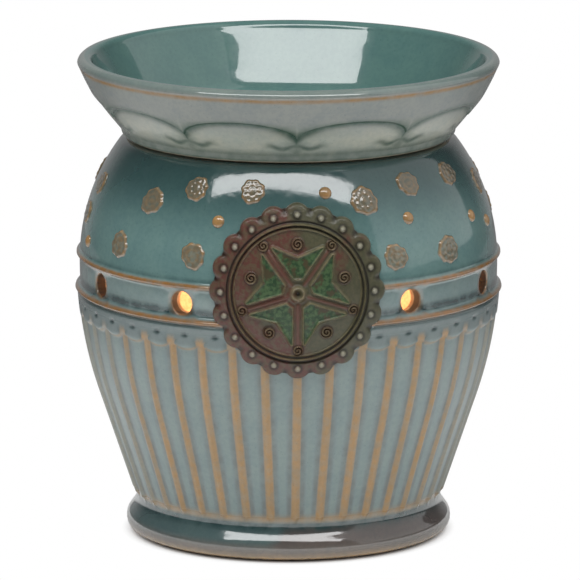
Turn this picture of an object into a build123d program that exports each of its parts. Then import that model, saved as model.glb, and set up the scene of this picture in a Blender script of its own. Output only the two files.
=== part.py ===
"""Electric wax melt warmer: a glazed stoneware urn with a lamp inside and a loose dish on top.

The urn stands on its base, +Z is up, and the origin is the middle of the footprint. The medallion
faces -Y and the cord's grommet is at +Y. All sizes are in millimetres.

The lamp warms the dish from below, and its light shows through ten round windows in the belt. The
lampholder stands on a hollow threaded pipe, which clamps it to the urn's floor together with a strap
that carries the bottom cover and its four rubber feet.
"""

import math
import os

from build123d import *

# The urn's plain wall, without its relief: a cone from the neck, a long arc out to the widest point, a
# tighter arc in from there, and a small one over the rim, each tangent to the next
NECK_R, NECK_Z = 49.3, 12.3
WIDEST_R, WIDEST_Z = 67.95, 89.5
LOWER_ARC_R, UPPER_ARC_R, RIM_ARC_R = 134.0, 66.0, 6.6
RIM_Z = 131.2
WALL = 5.0
RIM_INNER_R, THROAT_Z, THROAT_LOW_Z = 46.5, 127.6, 124.0
FOOT_LIFT = 0.8  # the rubber feet hold the foot ring this far off the table
FOOT_EDGE_R, FOOT_INNER_R = 50.7, 45.8
FOOT_BULGE_R, FOOT_BULGE_Z = 52.8, 5.6
FOOT_TOP_R, FOOT_TOP_Z = 51.5, 9.9
FLOOR_LOW_Z, FLOOR_TOP_Z = 11.6, 16.6
FLOOR_CORNER_R, FLOOR_CORNER_RISE = 43.7, 2.0
PIPE_HOLE_R = 5.4

# Relief on the urn
RIB_COUNT = 40
RIB_STEP = 360 / RIB_COUNT
RIB_WIDTH, RIB_HEIGHT, RIB_LOW_Z = 2.3, 0.9, 13.0
TRIM_HEIGHT, TRIM_TOP_Z = 1.3, 80.4
LOBE_LOW_Z, LOBE_CUSP_Z = 72.4, 73.7
TRIM_LAP = 1.0  # how far the ribs and the lobes run up into the trim's band
EYELET_R, EYELET_Z, EYELET_DEPTH = 0.75, 76.9, 1.0
LOWER_RIDGE_Z, LOWER_RIDGE_R, LOWER_RIDGE_HEIGHT = 81.2, 1.35, 1.7
UPPER_RIDGE_Z, UPPER_RIDGE_R, UPPER_RIDGE_HEIGHT = 92.5, 1.25, 1.1
WINDOW_PLACES = 11  # the medallion covers the one in front
WINDOW_STEP = 360 / WINDOW_PLACES
WINDOW_R, WINDOW_Z = 3.8, 86.9
RELIEF_ROOT = 1.5  # how deep the relief is rooted in the wall
CUT_NEAR, CUT_FAR = 40.0, 80.0  # what cuts the wall runs between these distances from the axis

# Flowers above the belt: (degrees from the medallion, height, scale), and dots: (degrees, height)
FLOWER_PLACES = [
    (-56.6, 102.0, 0.95),
    (-29.6, 102.3, 0.95),
    (28.4, 101.6, 0.95),
    (47.4, 101.2, 1.05),
    (-72.6, 103.6, 0.95),
    (-47.1, 117.2, 1.0),
    (-32.1, 122.6, 0.9),
    (-13.6, 122.9, 0.9),
    (20.9, 119.5, 1.05),
    (37.9, 123.0, 0.95),
    (57.9, 123.3, 0.95),
    (-72.1, 117.2, 0.95),
    (78.0, 117.5, 1.0),
    (88.0, 102.6, 0.95),
]
BACK_FLOWER_PLACES = [(-5.0, 117.6, 1.0), (9.5, 102.4, 1.0), (-9.5, 101.4, 0.95)]
DOT_PLACES = [(-23.1, 113.5), (34.4, 113.0), (62.4, 109.2), (8.9, 122.5), (73.4, 105.5), (-62.0, 110.5)]
PETALS, PETAL_R, PETAL_RING_R = 6, 1.25, 2.7
FLOWER_CORE_R, FLOWER_HEIGHT = 2.7, 0.6
FLOWER_EYE_R, FLOWER_EYE_HEIGHT = 1.3, 1.05
DOT_R, DOT_HEIGHT = 2.4, 0.95

# Medallion: a cast plaque that follows the wall's curve
MEDALLION_Z, MEDALLION_R = 92.0, 26.6
SEAT_R = 28.4
SCALLOPS, SCALLOP_R, SCALLOP_RING_R = 20, 3.1, 24.9
BORDER_HEIGHT, FIELD_HEIGHT = 1.9, 1.3
STUD_R, STUD_RING_R, STUD_HEIGHT = 0.8, 24.7, 2.7
BEAD_OUTER_R, BEAD_INNER_R, BEAD_HEIGHT = 22.5, 21.1, 2.7
SPOKES, SPOKE_WIDTH, SPOKE_START_R, SPOKE_END_R, SPOKE_HEIGHT = 5, 1.8, 3.0, 17.2, 2.1
LEAF_GAP = 1.5  # half the channel between two leaves, in which a spoke lies
LEAF_TIP_R, LEAF_NOTCH_R, LEAF_SHOULDER_R, LEAF_HEIGHT = 17.0, 11.7, 4.2, 2.3
CURL_R, CURL_HOLE_R, CURL_HEIGHT = 1.35, 0.55, 2.3
SPOKE_CURL_RING_R, NOTCH_CURL_RING_R = 18.3, 15.6
BOSS_R, BOSS_HEIGHT, BOSS_PIT_R = 2.5, 2.7, 0.9

# Wax dish, from the low edge of its outside up to the lip: (height, outer radius)
DISH_LINE = [(131.9, 53.6), (134.1, 54.9), (139.0, 58.9), (144.1, 62.8), (149.5, 66.0), (153.8, 68.0)]
DISH_INNER_LINE = [(153.2, 62.8), (147.0, 60.0), (141.0, 55.4), (137.3, 49.5)]
DISH_SEAT_R = 52.4
LIP_LINE = [(155.1, 68.3), (156.9, 65.8), (155.3, 63.5)]
DISH_FLOOR_Z, DISH_FLOOR_R, DISH_UNDERSIDE_Z = 135.8, 42.0, 131.2
BOWL_CORNER_R, BOWL_CORNER_Z = 46.0, 136.3
COLLAR_OUTER_R, COLLAR_INNER_R, COLLAR_LOW_Z = 45.0, 41.5, 126.5
ARCHES = 10
ARCH_STEP = 360 / ARCHES
ARCH_FOOT_Z, ARCH_RISE, ARCH_HALF_WIDTH, ARCH_DEPTH, ARCH_LOW_Z = 139.2, 6.3, 18.8, 0.5, 132.9
ARCH_CLEAR = 2.0  # how far outside the dish the cut of the arches starts

# Clamp through the urn's floor, from the bottom up
PIPE_R, PIPE_BORE_R, PIPE_LOW_Z, PIPE_TOP_Z = 5.0, 3.5, 5.6, 26.2
CUSHION_R, CUSHION_THICK = 14.0, 1.0
STRAP_WIDTH, STRAP_THICK, STRAP_HALF_SPAN, STRAP_REACH = 12.0, 1.5, 26.0, 35.0
WASHER_R, WASHER_THICK = 12.0, 1.4
NUT_FLATS, NUT_THICK = 14.0, 3.2
COVER_R, COVER_LOW_Z, COVER_THICK, COVER_GAP = 45.0, 3.0, 1.2, 0.5
COVER_SCREW_X, COVER_SCREW_TOP_Z = 31.0, 8.0
SCREW_R, SCREW_HEAD_R, SCREW_HEAD_THICK, SCREW_SLOT = 1.5, 2.8, 1.6, 0.8
FEET, FOOT_PAD_R, FOOT_PAD_RING_R, FOOT_PAD_TAPER = 4, 6.0, 36.0, 0.6

# Cord inlet, a notch through the foot ring at the back, and its grommet
NOTCH_R, NOTCH_Z, NOTCH_LOW_Z = 4.3, 6.2, 1.6
CORD_R, CORD_Z = 3.0, 5.9
FLANGE, FLANGE_THICK = 0.9, 1.6
GROMMET_IN_Y, GROMMET_OUT_Y = 43.6, 54.6

# Lampholder
CAP_LOW_Z, CAP_TOP_Z, CAP_R, CAP_WALL, CAP_HUB_R = 22.6, 31.0, 15.2, 1.2, 7.4
HOLDER_LOW_Z, HOLDER_TOP_Z, HOLDER_R, HOLDER_EDGE = 26.8, 54.0, 13.6, 1.5
WELL_R, WELL_STEP_Z, WELL_LOW_R, WELL_LOW_Z = 8.4, 33.4, 7.0, 31.0
HOLDER_SCREW_Y, HOLDER_SCREW_TOP_Z = 10.4, 30.0
POCKET_DEPTH, POCKET_WIDTH, POCKET_RISE, POCKET_Z = 3.4, 8.0, 7.6, 36.4
SLEEVE_R, SLEEVE_WALL, SLEEVE_TOP_Z = 7.05, 0.4, 52.6
THREAD_PITCH, THREAD_DEPTH = 2.82, 0.35
CONTACT_WIDTH, CONTACT_THICK, CONTACT_REACH = 3.0, 0.4, 5.0

# Lamp: a small round bulb on a 14 mm screw cap
TIP_Z, TIP_R, TIP_THICK = 32.5, 2.3, 1.2
BULB_CAP_R, BULB_CAP_SKIN, BULB_CAP_LOW_Z, BULB_CAP_TOP_Z = 6.9, 0.35, 37.4, 53.2
COLLAR_R, COLLAR_TOP_Z = 8.2, 58.6
BULB_R, BULB_Z, GLASS_WALL = 22.5, 79.5, 0.8
BULB_NECK_R, BULB_NECK_Z, BULB_NECK_TOP_Z = 7.3, 55.6, 58.0
BULB_SHOULDER_Z = 66.0
STEM_R, STEM_TOP_Z = 2.2, 68.0
FILAMENT_Z, FILAMENT_HALF_SPAN, FILAMENT_RISE, WIRE_R = 79.0, 9.0, 3.0, 0.35

# Where the wall's arcs are centred and meet, as (radius, height) points and angles from the horizontal
LOWER_CENTRE = Vector(WIDEST_R - LOWER_ARC_R, WIDEST_Z)
UPPER_CENTRE = Vector(WIDEST_R - UPPER_ARC_R, WIDEST_Z)
NECK_OFF = Vector(NECK_R, NECK_Z) - LOWER_CENTRE
CONE_ANGLE = math.atan2(-NECK_OFF.Y, NECK_OFF.X) - math.acos(LOWER_ARC_R / NECK_OFF.length)
CONE_TOP_Z = WIDEST_Z - LOWER_ARC_R * math.sin(CONE_ANGLE)
SHOULDER_ANGLE = math.asin((RIM_Z - RIM_ARC_R - WIDEST_Z) / (UPPER_ARC_R - RIM_ARC_R))
SHOULDER_WAY = Vector(math.cos(SHOULDER_ANGLE), math.sin(SHOULDER_ANGLE))
RIM_CENTRE = UPPER_CENTRE + SHOULDER_WAY * (UPPER_ARC_R - RIM_ARC_R)


def swapped(stations, grow=0.0):
    """(radius, height) points of a line of (height, radius) stations, moved outwards by grow."""
    return [(r + grow, z) for z, r in stations]


def turned(*edges):
    """The solid that a closed outline of (radius, height) edges makes when it turns about Z."""
    return revolve(Plane.XZ * make_face(list(edges)), Axis.Z)


def path(*points):
    """Straight edges through (radius, height) points."""
    return [Line(a, b) for a, b in zip(points, points[1:])]


def ring(outer_r, inner_r, low, high):
    """A plain ring about Z, or a disc where inner_r is 0."""
    middle = Pos(0, 0, (low + high) / 2)
    made = middle * Cylinder(outer_r, high - low)
    return made - middle * Cylinder(inner_r, high - low) if inner_r else made


def bar(radius):
    """A round bar along +Z that runs through the wall once outward() has laid it."""
    return Pos(0, 0, (CUT_NEAR + CUT_FAR) / 2) * Cylinder(radius, CUT_FAR - CUT_NEAR)


def prism(outline):
    """A plan outline's prism along +Z that runs through the wall once outward() has laid it."""
    return Pos(0, 0, CUT_NEAR) * extrude(outline, CUT_FAR - CUT_NEAR)


def block(x0, x1, y0, y1, z0, z1):
    """A box between two corners."""
    return Pos((x0 + x1) / 2, (y0 + y1) / 2, (z0 + z1) / 2) * Box(x1 - x0, y1 - y0, z1 - z0)


def under(stations, grow):
    """The solid within a line of stations, down to the axis, with the line moved outwards by grow."""
    line = Spline(*swapped(stations, grow))
    low, high = line @ 0, line @ 1
    return turned(line, *path((high.X, high.Y), (0, high.Y), (0, low.Y), (low.X, low.Y)))


def wall_radius(z, grow=0.0):
    """Radius at one height of the urn's plain wall, moved square to itself by grow."""
    if z > WIDEST_Z:
        return UPPER_CENTRE.X + math.sqrt((UPPER_ARC_R + grow) ** 2 - (z - WIDEST_Z) ** 2)
    if z > CONE_TOP_Z - grow * math.sin(CONE_ANGLE):
        return LOWER_CENTRE.X + math.sqrt((LOWER_ARC_R + grow) ** 2 - (z - WIDEST_Z) ** 2)
    return NECK_R + (z - NECK_Z) * math.tan(CONE_ANGLE) + grow / math.cos(CONE_ANGLE)


def wall_edges(grow, low, shoulder_angle):
    """Edges of the wall moved by grow: its cone from the height low, then its two long arcs."""
    cone_angle = math.degrees(CONE_ANGLE)
    lower = CenterArc(LOWER_CENTRE, LOWER_ARC_R + grow, -cone_angle, cone_angle)
    upper = CenterArc(UPPER_CENTRE, UPPER_ARC_R + grow, 0, math.degrees(shoulder_angle))
    return [Line((wall_radius(low, grow), low), lower @ 0), lower, upper]


def urn_core(grow):
    """The solid within the urn's plain wall, moved outwards by grow, from the neck to the rim."""
    shoulder = math.degrees(SHOULDER_ANGLE)
    rim = CenterArc(RIM_CENTRE, RIM_ARC_R + grow, shoulder, 90 - shoulder)
    top, low = RIM_Z + grow, (wall_radius(NECK_Z, grow), NECK_Z)
    closing = path((RIM_CENTRE.X, top), (0, top), (0, NECK_Z), low)
    return turned(*wall_edges(grow, NECK_Z, SHOULDER_ANGLE), rim, *closing)


def outward(degrees, z, shape):
    """shape, made along +Z, laid to point away from the axis. 0 degrees is at -Y."""
    return Pos(0, 0, z) * Rot(0, 0, degrees) * Rot(90, 0, 0) * shape


def on_wall(degrees, z, out=0.0):
    """A location on the urn's plain wall, moved out of it by out, with its Z square to the wall."""
    centre = UPPER_CENTRE if z > WIDEST_Z else LOWER_CENTRE
    r, turn = wall_radius(z), math.radians(degrees)
    away = (Vector(r, z) - centre).normalized()
    across = Vector(math.sin(turn), -math.cos(turn), 0)
    normal = across * away.X + Vector(0, 0, away.Y)
    origin = across * r + Vector(0, 0, z) + normal * out
    return Plane(origin=origin, x_dir=(math.cos(turn), math.sin(turn), 0), z_dir=normal).location


def urn_blank():
    """The urn's plain wall, floor and foot ring, without relief or windows."""
    shoulder = math.degrees(SHOULDER_ANGLE)
    throat_angle = math.asin((THROAT_LOW_Z - WIDEST_Z) / (UPPER_ARC_R - WALL))
    corner_z = FLOOR_TOP_Z + FLOOR_CORNER_RISE
    return turned(
        ThreePointArc((FOOT_EDGE_R, FOOT_LIFT), (FOOT_BULGE_R, FOOT_BULGE_Z), (FOOT_TOP_R, FOOT_TOP_Z)),
        Line((FOOT_TOP_R, FOOT_TOP_Z), (NECK_R, NECK_Z)),
        *wall_edges(0, NECK_Z, SHOULDER_ANGLE),
        CenterArc(RIM_CENTRE, RIM_ARC_R, shoulder, 90 - shoulder),
        *path(
            (RIM_CENTRE.X, RIM_Z),
            (RIM_INNER_R, RIM_Z),
            (RIM_INNER_R, THROAT_Z),
            (wall_radius(THROAT_LOW_Z, -WALL), THROAT_LOW_Z),
        ),
        *wall_edges(-WALL, corner_z, throat_angle),
        *path(
            (wall_radius(corner_z, -WALL), corner_z),
            (FLOOR_CORNER_R, FLOOR_TOP_Z),
            (PIPE_HOLE_R, FLOOR_TOP_Z),
            (PIPE_HOLE_R, FLOOR_LOW_Z),
            (FOOT_INNER_R, FLOOR_LOW_Z),
            (FOOT_INNER_R, FOOT_LIFT),
            (FOOT_EDGE_R, FOOT_LIFT),
        ),
    )


def relief_layer(height):
    """A skin over the urn's wall, this high and rooted in it."""
    return urn_core(height) - urn_core(-RELIEF_ROOT)


def ribs():
    """Upright ribs from the neck up to the lace trim."""
    slab = block(-RIB_WIDTH / 2, RIB_WIDTH / 2, -CUT_FAR, -CUT_NEAR, RIB_LOW_Z, LOBE_CUSP_Z + TRIM_LAP)
    return relief_layer(RIB_HEIGHT) & Compound([Rot(0, 0, RIB_STEP * i) * slab for i in range(RIB_COUNT)])


def trim():
    """The lace trim: a band with a shallow lobe hanging between each pair of ribs."""
    half_pitch = math.pi * wall_radius(LOBE_CUSP_Z) / RIB_COUNT
    sag = LOBE_CUSP_Z - LOBE_LOW_Z
    lobe_r = (half_pitch**2 + sag**2) / (2 * sag)
    lobe = prism(Circle(lobe_r) & Pos(0, -lobe_r) * Rectangle(3 * half_pitch, 2 * (sag + TRIM_LAP)))
    lobes = [outward(RIB_STEP * (i + 0.5), LOBE_LOW_Z + lobe_r, lobe) for i in range(RIB_COUNT)]
    layer = relief_layer(TRIM_HEIGHT)
    return (layer & Compound(lobes)) + (layer & ring(CUT_FAR, 0, LOBE_CUSP_Z + TRIM_LAP / 2, TRIM_TOP_Z))


def ridge(z, bead_r, height):
    """A round bead about the belt, with its crest this high over the plain wall."""
    return Pos(0, 0, z) * Torus(wall_radius(z) + height - bead_r, bead_r)


def flower(degrees, z, scale):
    """A low blossom of petals round an eye, rooted in the wall."""
    petal = Pos(PETAL_RING_R * scale, 0) * Circle(PETAL_R * scale)
    outline = Circle(FLOWER_CORE_R * scale)
    for i in range(PETALS):
        outline += Rot(0, 0, 360 / PETALS * i) * petal
    eye = Circle(FLOWER_EYE_R * scale)
    blossom = extrude(outline, FLOWER_HEIGHT + RELIEF_ROOT) + extrude(eye, FLOWER_EYE_HEIGHT + RELIEF_ROOT)
    return on_wall(degrees, z, -RELIEF_ROOT) * blossom


def dot(degrees, z):
    """A low round bump, rooted in the wall."""
    return on_wall(degrees, z, DOT_HEIGHT - DOT_R) * Sphere(DOT_R)


def sprigs():
    """The flowers and dots: the front's scatter, the same again behind, and more where it has room."""
    made = []
    for turn in (0, 180):
        made += [flower(angle + turn, z, scale) for angle, z, scale in FLOWER_PLACES]
        made += [dot(angle + turn, z) for angle, z in DOT_PLACES]
    return made + [flower(angle + 180, z, scale) for angle, z, scale in BACK_FLOWER_PLACES]


def notch_outline(grow):
    """The cord notch's outline in the XZ plane, widened by grow: straight legs under a round top."""
    radius, low = NOTCH_R + grow, NOTCH_LOW_Z
    legs = Pos(0, (low - NOTCH_Z) / 2) * Rectangle(2 * radius, NOTCH_Z - low)
    return Pos(0, 0, NOTCH_Z) * Rot(90, 0, 0) * (Circle(radius) + legs)


def body_shell():
    """The stoneware urn with its relief, its windows and the cord notch."""
    seat = outward(0, MEDALLION_Z, bar(SEAT_R))
    relief = [ribs(), trim()]
    relief.append(ridge(LOWER_RIDGE_Z, LOWER_RIDGE_R, LOWER_RIDGE_HEIGHT))
    relief.append(ridge(UPPER_RIDGE_Z, UPPER_RIDGE_R, UPPER_RIDGE_HEIGHT))
    shell = urn_blank()
    for piece in relief:
        shell += piece - seat
    shell += sprigs()
    cuts = [outward(WINDOW_STEP * i, WINDOW_Z, bar(WINDOW_R)) for i in range(1, WINDOW_PLACES)]
    trim_r = wall_radius(EYELET_Z) + TRIM_HEIGHT
    eyelet = Pos(0, 0, trim_r) * Cylinder(EYELET_R, 2 * EYELET_DEPTH)
    hidden = math.degrees(math.asin(SEAT_R / trim_r))
    for i in range(RIB_COUNT):
        angle = RIB_STEP * (i + 0.5)
        if hidden < angle < 360 - hidden:
            cuts.append(outward(angle, EYELET_Z, eyelet))
    cuts.append(Pos(0, CUT_FAR, 0) * extrude(notch_outline(0), CUT_FAR - CUT_NEAR))
    cuts.append(block(-NOTCH_R, NOTCH_R, CUT_NEAR, CUT_FAR, 0, NOTCH_Z))
    return shell - cuts


def plaque_layer(outline, height):
    """The part of a plan outline that stands between the urn's wall and height above it."""
    return (outward(0, MEDALLION_Z, prism(outline)) & urn_core(height)) - urn_core(0)


def around(shape, count, first=0.0):
    """Copies of a plan shape about the medallion's middle, the first one this far from straight up."""
    made = shape
    for i in range(count):
        turn = Rot(0, 0, first + 360 / count * i)
        made = turn * shape if i == 0 else made + turn * shape
    return made


def leaf():
    """One two-pointed leaf between two spokes, pointing up."""
    half = math.pi / SPOKES
    edge = Vector(math.sin(half), math.cos(half))
    side = Vector(-math.cos(half), math.sin(half)) * LEAF_GAP
    tip, shoulder = edge * LEAF_TIP_R + side, edge * LEAF_SHOULDER_R + side
    corners = [(shoulder.X, shoulder.Y), (tip.X, tip.Y), (0, LEAF_NOTCH_R), (-tip.X, tip.Y)]
    return make_face(Polyline(*corners, (-shoulder.X, shoulder.Y), close=True))


def medallion():
    """The scalloped plaque with its studs, its bead ring and a rosette on five spokes."""
    scallops = Circle(MEDALLION_R) + around(Pos(0, SCALLOP_RING_R) * Circle(SCALLOP_R), SCALLOPS)
    studs = around(Pos(0, STUD_RING_R) * Circle(STUD_R), SCALLOPS)
    spoke = Pos(0, (SPOKE_START_R + SPOKE_END_R) / 2) * Rectangle(SPOKE_WIDTH, SPOKE_END_R - SPOKE_START_R)
    curl = Circle(CURL_R) - Circle(CURL_HOLE_R)
    half_turn = 180 / SPOKES
    layers = [
        (scallops - Circle(BEAD_INNER_R), BORDER_HEIGHT),
        (Circle(BEAD_OUTER_R), FIELD_HEIGHT),
        (Circle(BEAD_OUTER_R) - Circle(BEAD_INNER_R), BEAD_HEIGHT),
        (studs, STUD_HEIGHT),
        (around(leaf(), SPOKES), LEAF_HEIGHT),
        (around(spoke, SPOKES, half_turn), SPOKE_HEIGHT),
        (around(Pos(0, SPOKE_CURL_RING_R) * curl, SPOKES, half_turn), CURL_HEIGHT),
        (around(Pos(0, NOTCH_CURL_RING_R) * curl, SPOKES), CURL_HEIGHT),
        (Circle(BOSS_R), BOSS_HEIGHT),
    ]
    plaque, *rest = [plaque_layer(outline, height) for outline, height in layers]
    front = wall_radius(MEDALLION_Z) + BOSS_HEIGHT
    return plaque + rest - Pos(0, -front, MEDALLION_Z) * Sphere(BOSS_PIT_R)


def wax_dish():
    """The loose dish, with ten shallow arches round its outside and a collar that drops in the rim."""
    outer = Spline(*swapped(DISH_LINE))
    inner = Spline(*swapped(DISH_INNER_LINE))
    (low_z, low_r), (high_z, high_r) = DISH_LINE[0], DISH_LINE[-1]
    (rim_z, rim_r), (bowl_z, bowl_r) = DISH_INNER_LINE[0], DISH_INNER_LINE[-1]
    blank = turned(
        outer,
        Spline((high_r, high_z), *swapped(LIP_LINE), (rim_r, rim_z)),
        inner,
        ThreePointArc((bowl_r, bowl_z), (BOWL_CORNER_R, BOWL_CORNER_Z), (DISH_FLOOR_R, DISH_FLOOR_Z)),
        *path(
            (DISH_FLOOR_R, DISH_FLOOR_Z),
            (0, DISH_FLOOR_Z),
            (0, DISH_UNDERSIDE_Z),
            (COLLAR_INNER_R, DISH_UNDERSIDE_Z),
            (COLLAR_INNER_R, COLLAR_LOW_Z),
            (COLLAR_OUTER_R, COLLAR_LOW_Z),
            (COLLAR_OUTER_R, RIM_Z),
            (DISH_SEAT_R, RIM_Z),
            (low_r, low_z),
        ),
    )
    fall = ARCH_FOOT_Z - ARCH_LOW_Z
    arch = Ellipse(ARCH_HALF_WIDTH, ARCH_RISE) + Pos(0, -fall / 2) * Rectangle(2 * ARCH_HALF_WIDTH, fall)
    prisms = [outward(ARCH_STEP * (i + 0.5), ARCH_FOOT_Z, prism(arch)) for i in range(ARCHES)]
    skin = under(DISH_LINE, ARCH_CLEAR) - under(DISH_LINE, -ARCH_DEPTH)
    return blank - (skin & Compound(prisms))


def hex_nut(low):
    """A thin lock nut on the pipe."""
    hexagon = extrude(RegularPolygon(NUT_FLATS / 2, 6, major_radius=False), NUT_THICK)
    return Pos(0, 0, low) * hexagon - ring(PIPE_R, 0, low, low + NUT_THICK)


def screw(x, y, head_low, tip_z):
    """A slotted screw that points up, its head below."""
    head_top = head_low + SCREW_HEAD_THICK
    made = ring(SCREW_HEAD_R, 0, head_low, head_top) + ring(SCREW_R, 0, head_top, tip_z)
    half = SCREW_SLOT / 2
    made -= block(-SCREW_HEAD_R, SCREW_HEAD_R, -half, half, head_low, head_low + SCREW_SLOT)
    return Pos(x, y, 0) * made


def base_strap(top):
    """The bent steel strap under the floor: a bridge, two legs and two feet for the cover's screws."""
    low, half = COVER_LOW_Z + COVER_THICK, STRAP_WIDTH / 2
    strap = block(-STRAP_HALF_SPAN, STRAP_HALF_SPAN, -half, half, top - STRAP_THICK, top)
    for side in (-1, 1):
        inner, outer = STRAP_HALF_SPAN - STRAP_THICK, STRAP_REACH
        leg = block(inner, STRAP_HALF_SPAN, -half, half, low, top)
        foot = block(inner, outer, -half, half, low, low + STRAP_THICK)
        foot -= Pos(COVER_SCREW_X, 0, 0) * ring(SCREW_R, 0, low, low + STRAP_THICK)
        strap += Rot(0, 0, 0 if side > 0 else 180) * (leg + foot)
    return strap - ring(PIPE_R, 0, top - STRAP_THICK, top)


def base_cover():
    """The steel disc that closes the foot, cut out at the back for the grommet."""
    top, side = COVER_LOW_Z + COVER_THICK, NOTCH_R + FLANGE + COVER_GAP
    cover = ring(COVER_R, 0, COVER_LOW_Z, top)
    cover -= block(-side, side, GROMMET_IN_Y - COVER_GAP, CUT_FAR, COVER_LOW_Z, top)
    for x in (-COVER_SCREW_X, COVER_SCREW_X):
        cover -= Pos(x, 0, 0) * ring(SCREW_R, 0, COVER_LOW_Z, top)
    return cover


def rubber_foot(i):
    """One of the tapered pads under the cover."""
    turn = Rot(0, 0, 360 / FEET * (i + 0.5))
    pad = Cone(FOOT_PAD_R - FOOT_PAD_TAPER, FOOT_PAD_R, COVER_LOW_Z)
    return turn * Pos(FOOT_PAD_RING_R, 0, COVER_LOW_Z / 2) * pad


def cord_grommet():
    """The rubber bush in the cord notch, with a flange on each side of the foot ring."""
    length = GROMMET_OUT_Y - GROMMET_IN_Y
    bush = Pos(0, GROMMET_OUT_Y, 0) * extrude(notch_outline(0), length)
    for y in (GROMMET_IN_Y + FLANGE_THICK, GROMMET_OUT_Y):
        bush += Pos(0, y, 0) * extrude(notch_outline(FLANGE), FLANGE_THICK)
    bore = Pos(0, (GROMMET_IN_Y + GROMMET_OUT_Y) / 2, CORD_Z) * Rot(90, 0, 0) * Cylinder(CORD_R, length)
    return bush - bore


def holder_cap():
    """The steel cup under the porcelain, with the hub that screws onto the pipe."""
    floor_top = CAP_LOW_Z + CAP_WALL
    cup = ring(CAP_R, 0, CAP_LOW_Z, CAP_TOP_Z) - ring(CAP_R - CAP_WALL, 0, floor_top, CAP_TOP_Z)
    cup += ring(CAP_HUB_R, 0, CAP_LOW_Z, PIPE_TOP_Z)
    cup -= ring(PIPE_R, 0, CAP_LOW_Z, PIPE_TOP_Z)
    for y in (-HOLDER_SCREW_Y, HOLDER_SCREW_Y):
        cup -= Pos(0, y, 0) * ring(SCREW_R, 0, CAP_LOW_Z, floor_top)
    return cup


def lampholder():
    """The porcelain body: a stepped well for the lamp and two side pockets for the terminals."""
    body = ring(HOLDER_R, 0, HOLDER_LOW_Z, HOLDER_TOP_Z)
    body = fillet(body.edges().group_by(Axis.Z)[-1], HOLDER_EDGE)
    body -= ring(WELL_R, 0, WELL_STEP_Z, HOLDER_TOP_Z)
    body -= ring(WELL_LOW_R, 0, WELL_LOW_Z, WELL_STEP_Z)
    for y in (-HOLDER_SCREW_Y, HOLDER_SCREW_Y):
        body -= Pos(0, y, 0) * ring(SCREW_R, 0, HOLDER_LOW_Z, HOLDER_SCREW_TOP_Z)
    half, low, high = POCKET_WIDTH / 2, POCKET_Z - POCKET_RISE / 2, POCKET_Z + POCKET_RISE / 2
    pocket = block(HOLDER_R - POCKET_DEPTH, HOLDER_R + 1, -half, half, low, high)
    return body - pocket - Rot(0, 0, 180) * pocket


def wave(middle_r, low, count):
    """Edges of a rolled thread's outline: arcs of half a pitch, by turns out of middle_r and into it."""
    rise = THREAD_PITCH / 2
    arcs = []
    for i in range(count):
        start = low + rise * i
        bend_r = middle_r + THREAD_DEPTH / 2 * (-1) ** i
        arcs.append(ThreePointArc((middle_r, start), (bend_r, start + rise / 2), (middle_r, start + rise)))
    return arcs


def rolled_sleeve(crest_r, thick, low, high):
    """A thin sleeve with a rolled thread, drawn as rings, that reaches crest_r at its widest."""
    outer_r = crest_r - THREAD_DEPTH / 2
    inner_r = outer_r - thick
    count = int((high - low) / (THREAD_PITCH / 2))
    top = low + THREAD_PITCH / 2 * count
    return turned(
        *wave(outer_r, low, count),
        *path((outer_r, top), (outer_r, high), (inner_r, high), (inner_r, top)),
        *wave(inner_r, low, count),
        Line((inner_r, low), (outer_r, low)),
    )


def socket_sleeve():
    """The brass sleeve that the lamp screws into, with a flange on the well's step."""
    crest_r = SLEEVE_R + SLEEVE_WALL + THREAD_DEPTH
    sleeve = rolled_sleeve(crest_r, SLEEVE_WALL, WELL_STEP_Z, SLEEVE_TOP_Z)
    return sleeve + ring(WELL_R, crest_r - SLEEVE_WALL, WELL_STEP_Z, WELL_STEP_Z + SLEEVE_WALL)


def centre_contact():
    """The sprung brass finger under the lamp's tip: a foot, a riser and the finger."""
    half, gap = CONTACT_WIDTH / 2, 0.05
    top = TIP_Z - gap
    foot = block(0, CONTACT_REACH, -half, half, WELL_LOW_Z, WELL_LOW_Z + CONTACT_THICK)
    riser = block(CONTACT_REACH - CONTACT_THICK, CONTACT_REACH, -half, half, WELL_LOW_Z, top)
    finger = block(-TIP_R, CONTACT_REACH, -half, half, top - CONTACT_THICK, top)
    return foot + riser + finger


def terminal_parts():
    """The brass blocks in the side pockets and their screws, which stand out sideways."""
    face, thick, head, bite = HOLDER_R - POCKET_DEPTH, 2.6, 1.4, 1.8
    half_width, half_rise, head_r, slot = 3.2, 3.0, 2.2, 0.6
    blocks, screws = [], []
    brass = block(face, face + thick, -half_width, half_width, POCKET_Z - half_rise, POCKET_Z + half_rise)
    shank = Pos(face + thick - bite / 2, 0, POCKET_Z) * Rot(0, 90, 0) * Cylinder(SCREW_R, bite)
    button = Pos(face + thick + head / 2, 0, POCKET_Z) * Rot(0, 90, 0) * Cylinder(head_r, head)
    groove_low, groove_high = POCKET_Z - slot / 2, POCKET_Z + slot / 2
    button -= block(face + thick + head - slot, HOLDER_R + 2, -head_r, head_r, groove_low, groove_high)
    for turn in (0, 180):
        blocks.append(Rot(0, 0, turn) * (brass - shank))
        screws.append(Rot(0, 0, turn) * (button + shank))
    return Compound(blocks), Compound(screws)


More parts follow.
